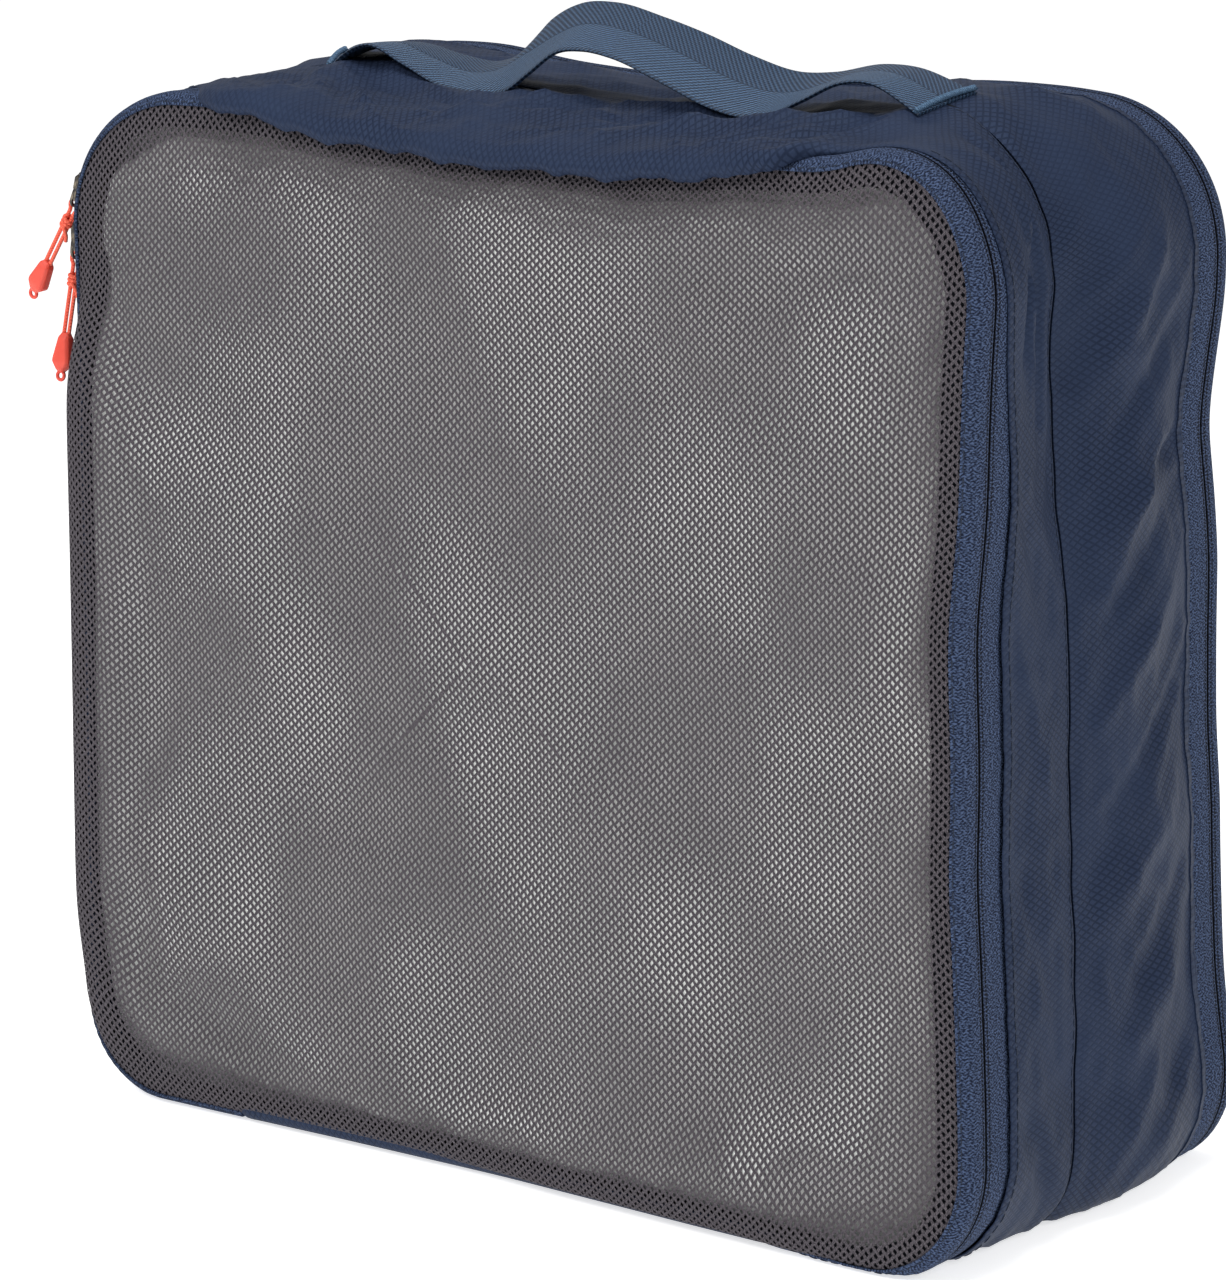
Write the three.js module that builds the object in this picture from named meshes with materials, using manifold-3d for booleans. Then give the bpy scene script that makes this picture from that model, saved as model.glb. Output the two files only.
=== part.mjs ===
// A soft two-compartment packing cube, in millimetres. +Z is up, +X is to the right and +Y is to the back;
// the origin is on the base, under the middle of the cube. The mesh cover is the front, at -Y.
import * as THREE from "three";
import { mergeVertices } from "three/addons/utils/BufferGeometryUtils.js";
import Module from "manifold-3d";

const wasm = await Module();
wasm.setup();

// Driving dimensions
const WIDTH = 360;
const HEIGHT = 350;
const DEPTH = 164;
const TOP_RADIUS = 48;
const BOTTOM_RADIUS = 38;
const FABRIC = 1.2; // a sewn wall: ripstop with its coating and seam allowance
const GAP = 0.3; // clearance between pieces that touch
const ARC_STEPS = 5; // curve divisions given to each rounded corner

// Across the depth, from the middle plane
const SEAM_Y = -17.5; // the seam that joins the front and rear gussets
const ZIP_Y = 71; // both zips run at this distance from the middle plane
const ZIP_HALF_GAP = 0.8; // half the slit between a closed zip's two tapes, where the slider's post runs
const TAPE_INNER_Y = 57.3; // the tape's edge where it is sewn to the gusset
const COIL_WIDTH = 1.7;
const COIL_THICKNESS = 1.6;
const ZIP_END_X = 110; // each zip goes round the bottom corners and ends here on the base

// Covers and linings
const BINDING_WIDTH = 8;
const BINDING_THICKNESS = 1.2;
const SEAM_TAPE_WIDTH = 9;
const STOP_SIZE = { x: 5.4, y: 7, z: 2 };

// Carrying handle: flat webbing that waves over the seam on the top
const STRAP_WIDTH = 30;
const STRAP_THICKNESS = 1.6;
const STRAP_STEPS = 18;
const BARTACK = { x: 2.6, z: 0.8 };

// Sliders, their metal loops and their pulls
const PLATE = { halfLength: 5.4, halfWidth: 4.6, thickness: 1.6, corner: 1.6 };
const OUTER_PLATE_AT = 0.5; // height of the outer plate above the tape
const INNER_PLATE_AT = -4.2; // depth of the inner plate's outer face, under the coils
const POST_HALF_WIDTH = 0.5;
const BRIDGE = { halfLength: 3.4, halfWidth: 1.1, top: 6, windowHalf: 2, windowTop: 4.8 };
const LOOP_PIVOT_AT = 3.45; // height of the loop's pivot above the tape
const LOOP = { length: 8, width: 5.4, bar: 1.4, thickness: 1.2 };
const CORD_DIAMETER = 1.4;
const CORD_SIDES = 8;
const CORD_STEPS = 44;
const EYE_RADIUS = 2.2;
const STRAND_HALF_SPACING = 1.1;
const KNOT_AT = 7.5; // distance from the loop's far bar to the knot
const PULL_END_AT = 27.3; // distance from the loop's far bar to the moulded end
const PULL_END = { length: 12, topWidth: 4.6, fullWidth: 7.5, tipWidth: 3.4, thickness: 4.6, lug: 3.2 };

const UPPER_SLIDER_DEG = 15.5; // how far round the top corner the upper slider stands
const LOWER_SLIDER_Z = 298.5;
const UPPER_LOOP_DEG = 8.1; // tilt of each loop away from the zip tape
const LOWER_LOOP_DEG = 8;
const REAR_LOOP_DEG = 2;

const COLOURS = {
  ripstop: 0x2f3b50,
  mesh: 0x5f5a5c,
  tape: 0x323f66,
  coil: 0x14161c,
  binding: 0x23262d,
  webbing: 0x2f4f74,
  thread: 0x5f86ad,
  metal: 0x2b2a29,
  pullCord: 0xf56e58,
  pullEnd: 0xe05a48,
};

const cube = new THREE.Group();

function material(colour, roughness, metalness = 0) {
  return new THREE.MeshStandardMaterial({ color: colour, roughness, metalness });
}

const FINISHES = {
  ripstop: material(COLOURS.ripstop, 0.6),
  mesh: material(COLOURS.mesh, 0.8),
  tape: material(COLOURS.tape, 0.85),
  coil: material(COLOURS.coil, 0.5),
  binding: material(COLOURS.binding, 0.85),
  webbing: material(COLOURS.webbing, 0.7),
  thread: material(COLOURS.thread, 0.7),
  metal: material(COLOURS.metal, 0.35, 0.9),
  pullCord: material(COLOURS.pullCord, 0.7),
  pullEnd: material(COLOURS.pullEnd, 0.5),
};

function addPart(name, geometry, finish, parent = cube) {
  const mesh = new THREE.Mesh(geometry, FINISHES[finish]);
  mesh.name = name;
  parent.add(mesh);
  return mesh;
}

// ---- Solid helpers ----

function solidOf(geometry) {
  const bare = geometry.index ? geometry.toNonIndexed() : geometry.clone();
  bare.deleteAttribute("normal");
  bare.deleteAttribute("uv");
  const merged = mergeVertices(bare, 1e-4);
  return new wasm.Manifold(
    new wasm.Mesh({
      numProp: 3,
      vertProperties: new Float32Array(merged.attributes.position.array),
      triVerts: new Uint32Array(merged.index.array),
    }),
  );
}

function geometryOf(solid) {
  const mesh = solid.getMesh();
  const geometry = new THREE.BufferGeometry();
  geometry.setAttribute("position", new THREE.BufferAttribute(mesh.vertProperties, 3));
  geometry.setIndex(new THREE.BufferAttribute(mesh.triVerts, 1));
  geometry.computeVertexNormals();
  return geometry;
}

function union(...geometries) {
  return geometryOf(geometries.map(solidOf).reduce((whole, piece) => whole.add(piece)));
}

function boxBetween(low, high) {
  const size = high.clone().sub(low);
  const centre = high.clone().add(low).multiplyScalar(0.5);
  return new THREE.BoxGeometry(size.x, size.y, size.z).translate(centre.x, centre.y, centre.z);
}

// A shape drawn in x and z, made solid between two depths.
function slabInDepth(shape, y1, y2) {
  const depth = Math.abs(y2 - y1);
  const geometry = new THREE.ExtrudeGeometry(shape, { depth, bevelEnabled: false, curveSegments: ARC_STEPS });
  return geometry.rotateX(Math.PI / 2).translate(0, Math.max(y1, y2), 0);
}

// ---- The cube's outline, seen from the front ----

// The path runs from the base at x = endX round the right side, the top and the left side back to the base,
// everywhere `inset` inside the cube's outer surface.
function outlinePath(inset, endX) {
  const side = WIDTH / 2 - inset;
  const top = HEIGHT - inset;
  const rTop = TOP_RADIUS - inset;
  const rBottom = BOTTOM_RADIUS - inset;
  const path = new THREE.Path();
  path.moveTo(endX, inset);
  path.lineTo(side - rBottom, inset);
  path.absarc(side - rBottom, inset + rBottom, rBottom, -Math.PI / 2, 0);
  path.absarc(side - rTop, top - rTop, rTop, 0, Math.PI / 2);
  path.absarc(rTop - side, top - rTop, rTop, Math.PI / 2, Math.PI);
  path.absarc(rBottom - side, inset + rBottom, rBottom, Math.PI, 1.5 * Math.PI);
  path.lineTo(-endX, inset);
  return path;
}

function outlineShape(inset) {
  return new THREE.Shape(outlinePath(inset, 0).getPoints(ARC_STEPS).slice(0, -1));
}

function ringShape(inset, thickness) {
  const shape = outlineShape(inset);
  shape.holes.push(outlineShape(inset + thickness));
  return shape;
}

// A band that follows three sides and both bottom corners, and ends on the base at x = +-endX.
function threeSidedShape(inset, thickness, endX) {
  const outer = outlinePath(inset, endX).getPoints(ARC_STEPS);
  const inner = outlinePath(inset + thickness, endX).getPoints(ARC_STEPS).reverse();
  return new THREE.Shape([...outer, ...inner]);
}

// ---- Body: gussets, divider and seam ----

function addBody() {
  const gussetShape = ringShape(0, FABRIC);
  const gussetEnd = TAPE_INNER_Y - GAP;
  addPart("front_gusset", slabInDepth(gussetShape, -gussetEnd, SEAM_Y - GAP / 2), "ripstop");
  addPart("rear_gusset", slabInDepth(gussetShape, SEAM_Y + GAP / 2, gussetEnd), "ripstop");

  const bindingInset = FABRIC + GAP;
  const bindingShape = ringShape(bindingInset, BINDING_THICKNESS);
  const halfTape = SEAM_TAPE_WIDTH / 2;
  addPart("centre_seam_binding", slabInDepth(bindingShape, SEAM_Y - halfTape, SEAM_Y + halfTape), "binding");

  const dividerShape = outlineShape(bindingInset + BINDING_THICKNESS + GAP);
  addPart("centre_divider", slabInDepth(dividerShape, SEAM_Y - FABRIC / 2, SEAM_Y + FABRIC / 2), "ripstop");
}

// ---- One compartment's zip and cover; side is -1 for the front and +1 for the rear ----

function addCompartment(label, side, panelName, panelFinish) {
  const face = (side * DEPTH) / 2;
  const coilInset = FABRIC + GAP;
  const tapeShape = threeSidedShape(0, FABRIC, ZIP_END_X);
  const coilShape = threeSidedShape(coilInset, COIL_THICKNESS, ZIP_END_X);
  const innerEdge = side * (ZIP_Y - ZIP_HALF_GAP);
  const outerEdge = side * (ZIP_Y + ZIP_HALF_GAP);

  addPart(`${label}_zip_inner_tape`, slabInDepth(tapeShape, side * TAPE_INNER_Y, innerEdge), "tape");
  addPart(`${label}_zip_outer_tape`, slabInDepth(tapeShape, outerEdge, face), "tape");
  const innerCoilEdge = innerEdge - side * COIL_WIDTH;
  const outerCoilEdge = outerEdge + side * COIL_WIDTH;
  addPart(`${label}_zip_inner_coil`, slabInDepth(coilShape, innerCoilEdge, innerEdge), "coil");
  addPart(`${label}_zip_outer_coil`, slabInDepth(coilShape, outerEdge, outerCoilEdge), "coil");

  const panelInset = FABRIC + GAP;
  const panelBack = face - side * FABRIC;
  const bindingFace = panelBack - side * GAP;
  const bindingBack = bindingFace - side * BINDING_THICKNESS;
  addPart(panelName, slabInDepth(outlineShape(panelInset), face, panelBack), panelFinish);
  const bindingShape = ringShape(panelInset, BINDING_WIDTH);
  addPart(`${label}_cover_binding`, slabInDepth(bindingShape, bindingFace, bindingBack), "binding");

  // The base reaches the cover between the zip's two ends, and the cover folds along its edge.
  const stripHalf = ZIP_END_X - GAP;
  const stripFace = panelBack - side * (GAP + GAP);
  const stripLow = new THREE.Vector3(-stripHalf, Math.min(stripFace, side * TAPE_INNER_Y), 0);
  const stripHigh = new THREE.Vector3(stripHalf, Math.max(stripFace, side * TAPE_INNER_Y), FABRIC);
  addPart(`${label}_hinge_strip`, boxBetween(stripLow, stripHigh), "ripstop");

  for (const [hand, sign] of [["left", -1], ["right", 1]]) {
    const outerX = sign * (ZIP_END_X - GAP - GAP);
    const innerX = outerX - sign * STOP_SIZE.x;
    const stopY = side * ZIP_Y;
    const floor = FABRIC + GAP;
    const low = new THREE.Vector3(Math.min(outerX, innerX), stopY - STOP_SIZE.y / 2, floor);
    const high = new THREE.Vector3(Math.max(outerX, innerX), stopY + STOP_SIZE.y / 2, floor + STOP_SIZE.z);
    addPart(`${label}_zip_stop_${hand}`, boxBetween(low, high), "metal");
  }
}

// ---- Handle ----

// The strap's wave over the top, as points (x, height above the cube's top), in its three stretches.
const STRAP_LEFT = [[-116, 1.4], [-104, 8], [-90, 13.6], [-78, 11], [-59, 6.2], [-47, 5.4], [-36, 9.4], [-31.5, 13.4]];
const STRAP_GRIP = [[-30.3, 14.6], [-26, 18.6], [-19, 22.6], [-9, 24.6], [9, 22.4], [28, 18], [46.6, 10.8]];
const STRAP_RIGHT = [[48.4, 10], [58, 6.6], [67, 6], [79, 9.2], [96, 14.6], [111, 12.4], [126, 7], [140, 1.4]];

// A strip of webbing: the wave thickened evenly in its own plane and extruded across its width.
function strapGeometry(points) {
  const curve = new THREE.CatmullRomCurve3(points.map(([x, rise]) => new THREE.Vector3(x, HEIGHT + rise, 0)));
  const upper = [];
  const lower = [];
  for (let i = 0; i <= STRAP_STEPS; i += 1) {
    const at = curve.getPoint(i / STRAP_STEPS);
    const along = curve.getTangent(i / STRAP_STEPS);
    const half = STRAP_THICKNESS / 2;
    upper.push(new THREE.Vector2(at.x - along.y * half, at.y + along.x * half));
    lower.push(new THREE.Vector2(at.x + along.y * half, at.y - along.x * half));
  }
  const shape = new THREE.Shape([...lower, ...upper.reverse()]);
  return slabInDepth(shape, SEAM_Y - STRAP_WIDTH / 2, SEAM_Y + STRAP_WIDTH / 2);
}

function bartackGeometry(x) {
  const bottom = HEIGHT + GAP + STRAP_THICKNESS + 1.6;
  const low = new THREE.Vector3(x - BARTACK.x / 2, SEAM_Y - STRAP_WIDTH / 2, bottom);
  const high = new THREE.Vector3(x + BARTACK.x / 2, SEAM_Y + STRAP_WIDTH / 2, bottom + BARTACK.z);
  return boxBetween(low, high);
}

function addHandle() {
  addPart("handle_strap_left_end", strapGeometry(STRAP_LEFT), "webbing");
  addPart("handle_strap_grip", strapGeometry(STRAP_GRIP), "webbing");
  addPart("handle_strap_right_end", strapGeometry(STRAP_RIGHT), "webbing");
  addPart("handle_bartack_left", bartackGeometry(STRAP_LEFT[0][0] - 0.4), "thread");
  addPart("handle_bartack_right", bartackGeometry(STRAP_RIGHT[STRAP_RIGHT.length - 1][0] + 0.4), "thread");
}

// ---- Sliders: local +X points out of the cube, local Z runs along the zip ----

function plateGeometry(from, to) {
  const { halfLength, halfWidth, corner } = PLATE;
  const plan = new THREE.Shape();
  plan.absarc(halfLength - corner, halfWidth - corner, corner, 0, Math.PI / 2);
  plan.absarc(corner - halfLength, halfWidth - corner, corner, Math.PI / 2, Math.PI);
  plan.absarc(corner - halfLength, corner - halfWidth, corner, Math.PI, 1.5 * Math.PI);
  plan.absarc(halfLength - corner, corner - halfWidth, corner, 1.5 * Math.PI, 2 * Math.PI);
  const plate = new THREE.ExtrudeGeometry(plan, { depth: to - from, bevelEnabled: false, curveSegments: 2 });
  return plate.rotateY(Math.PI / 2).translate(from, 0, 0);
}

function bridgeGeometry() {
  const foot = OUTER_PLATE_AT + PLATE.thickness / 2;
  const side = new THREE.Shape([
    new THREE.Vector2(-BRIDGE.halfLength, foot),
    new THREE.Vector2(-BRIDGE.windowHalf, foot),
    new THREE.Vector2(-BRIDGE.windowHalf, BRIDGE.windowTop),
    new THREE.Vector2(BRIDGE.windowHalf, BRIDGE.windowTop),
    new THREE.Vector2(BRIDGE.windowHalf, foot),
    new THREE.Vector2(BRIDGE.halfLength, foot),
    new THREE.Vector2(BRIDGE.halfLength, BRIDGE.windowTop),
    new THREE.Vector2(BRIDGE.windowHalf, BRIDGE.top),
    new THREE.Vector2(-BRIDGE.windowHalf, BRIDGE.top),
    new THREE.Vector2(-BRIDGE.halfLength, BRIDGE.windowTop),
  ]);
  const arch = new THREE.ExtrudeGeometry(side, { depth: 2 * BRIDGE.halfWidth, bevelEnabled: false });
  // The shape's x becomes local Z and its y becomes local X, out of the cube.
  const turn = new THREE.Matrix4().makeBasis(
    new THREE.Vector3(0, 0, 1),
    new THREE.Vector3(1, 0, 0),
    new THREE.Vector3(0, 1, 0),
  );
  return arch.translate(0, 0, -BRIDGE.halfWidth).applyMatrix4(turn);
}

function sliderGeometry() {
  const outer = plateGeometry(OUTER_PLATE_AT, OUTER_PLATE_AT + PLATE.thickness);
  const inner = plateGeometry(INNER_PLATE_AT - PLATE.thickness, INNER_PLATE_AT);
  const postLow = new THREE.Vector3(INNER_PLATE_AT - GAP, -POST_HALF_WIDTH, -BRIDGE.halfLength);
  const postHigh = new THREE.Vector3(OUTER_PLATE_AT + GAP, POST_HALF_WIDTH, BRIDGE.halfLength);
  return union(outer, inner, boxBetween(postLow, postHigh), bridgeGeometry());
}

// A flat metal ring: its near bar is the pivot at the origin, and it hangs down local -Z.
function loopGeometry() {
  const halfBar = LOOP.bar / 2;
  const ring = new THREE.Shape();
  const outerHalf = LOOP.width / 2 + halfBar;
  const innerHalf = LOOP.width / 2 - halfBar;
  ring.absarc(0, halfBar - outerHalf, outerHalf, 0, Math.PI);
  ring.absarc(0, outerHalf - LOOP.length - halfBar, outerHalf, Math.PI, 2 * Math.PI);
  const hole = new THREE.Path();
  hole.absarc(0, -halfBar - innerHalf, innerHalf, 0, Math.PI);
  hole.absarc(0, innerHalf - LOOP.length + halfBar, innerHalf, Math.PI, 2 * Math.PI);
  ring.holes.push(hole);
  const flat = new THREE.ExtrudeGeometry(ring, { depth: LOOP.thickness, bevelEnabled: false, curveSegments: 6 });
  const turn = new THREE.Matrix4().makeBasis(
    new THREE.Vector3(0, 1, 0),
    new THREE.Vector3(0, 0, 1),
    new THREE.Vector3(1, 0, 0),
  );
  return flat.translate(0, 0, -LOOP.thickness / 2).applyMatrix4(turn);
}

// ---- Pull: a doubled cord with an eye round the loop's far bar, and a moulded end ----

// Local frame: the origin is the middle of the far bar, -Z runs down the pull, X is across it.
function pullCordPath() {
  const points = [];
  const eyeTurns = [-150, -110, -60, 0, 60, 110, 150]; // degrees from straight up, round the eye
  const strand = (side, depths) => depths.map((z) => new THREE.Vector3(side * STRAND_HALF_SPACING, 0, -z));
  const down = [PULL_END_AT - GAP, 24, 20, 16, 12, KNOT_AT, 5.6];
  points.push(...strand(-1, down));
  for (const turn of eyeTurns) {
    const angle = THREE.MathUtils.degToRad(turn);
    const bulge = Math.abs(turn) > 120 ? EYE_RADIUS * 1.12 : EYE_RADIUS;
    points.push(new THREE.Vector3(bulge * Math.sin(angle), 0, bulge * Math.cos(angle) * 1.05));
  }
  points.push(...strand(1, [...down].reverse()));
  return new THREE.CatmullRomCurve3(points, false, "centripetal");
}

function pullCordGeometry() {
  const radius = CORD_DIAMETER / 2;
  const section = new THREE.Shape();
  section.absarc(0, 0, radius, 0, 2 * Math.PI);
  const options = {
    extrudePath: pullCordPath(),
    steps: CORD_STEPS,
    curveSegments: CORD_SIDES / 2,
    bevelEnabled: false,
  };
  return new THREE.ExtrudeGeometry(section, options);
}

function pullEndGeometry() {
  const { length, topWidth, fullWidth, tipWidth, thickness, lug } = PULL_END;
  const half = (value) => value / 2;
  const top = -PULL_END_AT;
  const outline = new THREE.Shape([
    new THREE.Vector2(-half(topWidth), top),
    new THREE.Vector2(-half(fullWidth), top - 0.7 * length),
    new THREE.Vector2(-half(tipWidth), top - length),
    new THREE.Vector2(-half(lug) / 2, top - length - lug),
    new THREE.Vector2(half(lug) / 2, top - length - lug),
    new THREE.Vector2(half(tipWidth), top - length),
    new THREE.Vector2(half(fullWidth), top - 0.7 * length),
    new THREE.Vector2(half(topWidth), top),
  ]);
  const block = new THREE.ExtrudeGeometry(outline, { depth: thickness, bevelEnabled: false });
  return block.translate(0, 0, -thickness / 2).rotateX(Math.PI / 2);
}

function addSlider(label, station, loopDegrees) {
  addPart(`${label}_slider`, sliderGeometry(), "metal", station);
  const loop = new THREE.Group();
  loop.position.x = LOOP_PIVOT_AT;
  loop.rotation.y = -THREE.MathUtils.degToRad(loopDegrees);
  station.add(loop);
  addPart(`${label}_puller`, loopGeometry(), "metal", loop);
  const farBar = new THREE.Group();
  farBar.position.z = -LOOP.length;
  loop.add(farBar);
  return farBar;
}

// The pull leaves the loop's far bar along `direction`, given in the cube's own frame.
function addPull(label, farBar, direction) {
  cube.updateMatrixWorld(true);
  const pull = new THREE.Group();
  farBar.getWorldPosition(pull.position);
  const up = direction.clone().normalize().negate();
  const across = new THREE.Vector3(0, 1, 0).cross(up).normalize();
  const through = up.clone().cross(across);
  pull.quaternion.setFromRotationMatrix(new THREE.Matrix4().makeBasis(across, through, up));
  cube.add(pull);
  addPart(`${label}_pull_cord`, pullCordGeometry(), "pullCord", pull);
  addPart(`${label}_pull_end`, pullEndGeometry(), "pullEnd", pull);
}

// Two sliders meet on the left side, just below the top corner; the upper one stands on the corner's arc.
function addSliders(label, side, loopDegrees) {
  const corner = new THREE.Group();
  corner.position.set(TOP_RADIUS - WIDTH / 2, side * ZIP_Y, HEIGHT - TOP_RADIUS);
  corner.rotation.y = THREE.MathUtils.degToRad(UPPER_SLIDER_DEG);
  cube.add(corner);
  const upper = new THREE.Group();
  upper.position.x = -TOP_RADIUS;
  upper.rotation.z = Math.PI;
  corner.add(upper);
  const lower = new THREE.Group();
  lower.position.set(-WIDTH / 2, side * ZIP_Y, LOWER_SLIDER_Z);
  lower.rotation.z = Math.PI;
  cube.add(lower);
  return [
    addSlider(`${label}_upper`, upper, loopDegrees[0]),
    addSlider(`${label}_lower`, lower, loopDegrees[1]),
  ];
}

addBody();
addCompartment("front", -1, "mesh_panel", "mesh");
addCompartment("rear", 1, "rear_panel", "ripstop");
addHandle();
const [upperBar, lowerBar] = addSliders("front", -1, [UPPER_LOOP_DEG, LOWER_LOOP_DEG]);
addPull("front_upper", upperBar, new THREE.Vector3(-26.5, 5, -35.5));
addPull("front_lower", lowerBar, new THREE.Vector3(-4.5, -5, -42.5));
addSliders("rear", 1, [REAR_LOOP_DEG, REAR_LOOP_DEG]);

export default cube;
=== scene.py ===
"""The packing cube's visual model. Sizes here are in millimetres; objects are made in metres.

The cube stands on its base, with the mesh cover at -Y. One outline runs round it, seen from the front, from
the middle of the base up the right side; a place on the cloth is (u, v): mm along that outline and of depth.
"""

import math

import bpy
import numpy as np
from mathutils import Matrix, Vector


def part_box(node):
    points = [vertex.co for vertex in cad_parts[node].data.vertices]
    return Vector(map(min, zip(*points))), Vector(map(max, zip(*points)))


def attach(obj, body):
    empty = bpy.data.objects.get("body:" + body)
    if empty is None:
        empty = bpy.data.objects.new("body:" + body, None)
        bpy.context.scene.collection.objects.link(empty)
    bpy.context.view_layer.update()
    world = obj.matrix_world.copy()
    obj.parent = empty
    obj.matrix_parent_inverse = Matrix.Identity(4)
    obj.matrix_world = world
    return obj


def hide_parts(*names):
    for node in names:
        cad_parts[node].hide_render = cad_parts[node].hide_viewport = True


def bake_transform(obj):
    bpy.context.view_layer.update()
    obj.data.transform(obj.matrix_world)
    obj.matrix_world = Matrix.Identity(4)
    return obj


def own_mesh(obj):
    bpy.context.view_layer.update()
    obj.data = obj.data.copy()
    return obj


MM = 0.001
TAU = 2 * math.pi

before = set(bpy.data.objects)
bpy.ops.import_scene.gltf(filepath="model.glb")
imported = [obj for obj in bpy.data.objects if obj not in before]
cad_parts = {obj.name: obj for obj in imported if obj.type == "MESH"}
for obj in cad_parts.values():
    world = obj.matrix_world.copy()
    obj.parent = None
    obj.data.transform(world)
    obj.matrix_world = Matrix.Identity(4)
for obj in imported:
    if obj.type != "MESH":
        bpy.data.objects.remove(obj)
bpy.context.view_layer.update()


def box_mm(node):
    low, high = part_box(node)
    return np.array(low) / MM, np.array(high) / MM


# ---- The cube's main sizes, read from its CAD pieces ----

_, GUSSET_HIGH = box_mm("rear_gusset")
TAPE_LOW, TAPE_HIGH = box_mm("front_zip_outer_tape")
INNER_LOW, INNER_HIGH = box_mm("front_zip_inner_tape")
DIVIDER_LOW, DIVIDER_HIGH = box_mm("centre_divider")
_, STRIP_HIGH = box_mm("front_hinge_strip")
HALF_WIDTH = GUSSET_HIGH[0]
HEIGHT = GUSSET_HIGH[2]
HALF_DEPTH = -TAPE_LOW[1]
SEAM_Y = (DIVIDER_LOW[1] + DIVIDER_HIGH[1]) / 2
ZIP_Y = -(TAPE_HIGH[1] + INNER_LOW[1]) / 2
TAPE_INNER_Y = -INNER_HIGH[1]
ZIP_END_X = STRIP_HIGH[0]
TOP_RADIUS = 48
BOTTOM_RADIUS = 38

# ---- The outline ----

SIDE_LOW = BOTTOM_RADIUS
SIDE_HIGH = HEIGHT - TOP_RADIUS
BASE_HALF = HALF_WIDTH - BOTTOM_RADIUS
TOP_HALF = HALF_WIDTH - TOP_RADIUS
LOW_ARC = BOTTOM_RADIUS * math.pi / 2
HIGH_ARC = TOP_RADIUS * math.pi / 2
SIDE_LENGTH = SIDE_HIGH - SIDE_LOW
LOOP = 2 * (BASE_HALF + LOW_ARC + SIDE_LENGTH + HIGH_ARC + TOP_HALF)


def base(x):
    return x % LOOP


def low_right(degrees):
    return BASE_HALF + LOW_ARC * degrees / 90


def right(z):
    return BASE_HALF + LOW_ARC + z - SIDE_LOW


def top_right(degrees):
    return right(SIDE_HIGH) + HIGH_ARC * degrees / 90


def top(x):
    return top_right(90) + TOP_HALF - x


def top_left(degrees):
    return top(-TOP_HALF) + HIGH_ARC * degrees / 90


def left(z):
    return top_left(90) + SIDE_HIGH - z


def low_left(degrees):
    return left(SIDE_LOW) + LOW_ARC * degrees / 90


def outline_table():
    """Points and outward normals round the outline, at steps of half a degree on the corners."""
    arcs = [
        (BASE_HALF, SIDE_LOW, BOTTOM_RADIUS, -90, low_right(0)),
        (TOP_HALF, SIDE_HIGH, TOP_RADIUS, 0, top_right(0)),
        (-TOP_HALF, SIDE_HIGH, TOP_RADIUS, 90, top_left(0)),
        (-BASE_HALF, SIDE_LOW, BOTTOM_RADIUS, 180, low_left(0)),
    ]
    rows = [(0, 0, 0, 0, -1)]
    for centre_x, centre_z, radius, first, start in arcs:
        for step in np.linspace(0, 90, 181):
            nx = math.cos(math.radians(first + step))
            nz = math.sin(math.radians(first + step))
            place = start + radius * math.radians(step)
            rows.append((place, centre_x + radius * nx, centre_z + radius * nz, nx, nz))
    rows.append((LOOP, 0, 0, 0, -1))
    return np.array(rows).T


OUTLINE = outline_table()


def outline(u):
    """x, z, and the outward normal's x and z at arc lengths u."""
    u = np.mod(u, LOOP)
    x, z, nx, nz = (np.interp(u, OUTLINE[0], row) for row in OUTLINE[1:])
    size = np.hypot(nx, nz)
    return x, z, nx / size, nz / size


SIDES = {
    "base": base, "low_right": low_right, "right": right, "top_right": top_right,
    "top": top, "top_left": top_left, "left": left, "low_left": low_left,
}


def profile(blur=9, **sides):
    """A smooth function of u, by a Gaussian blur of that many mm through each side's values at its places."""
    grid = np.linspace(0, LOOP, 1400, endpoint=False)
    points = [(SIDES[side](at), value) for side, values in sides.items() for at, value in values.items()]
    places, values = zip(*sorted(points))
    raw = np.interp(grid, places, values, period=LOOP)
    step = LOOP / len(grid)
    reach = np.arange(len(grid))
    reach = np.minimum(reach, len(grid) - reach) * step
    kernel = np.exp(-0.5 * (reach / blur) ** 2)
    smooth = np.real(np.fft.ifft(np.fft.fft(raw) * np.fft.fft(kernel / kernel.sum())))
    return lambda u: np.interp(u, grid, smooth, period=LOOP)


def field(a, b, wavelength, seed, waves=7):
    """A smooth random-looking height of about -1 to 1 over two coordinates in mm; the seed fixes it."""
    rng = np.random.default_rng(seed)
    total = np.zeros(np.broadcast(a, b).shape)
    for _ in range(waves):
        turn, phase = rng.uniform(0, TAU, 2)
        length = wavelength * rng.uniform(0.6, 1.6)
        total = total + np.sin(TAU * (a * math.cos(turn) + b * math.sin(turn)) / length + phase)
    return total / math.sqrt(2 * waves) / 0.9


def smooth_step(value, low, high):
    t = np.clip((value - low) / (high - low), 0, 1)
    return t * t * (3 - 2 * t)


# ---- How far the filled cloth stands out from the CAD's outline, at four depths ----

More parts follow.
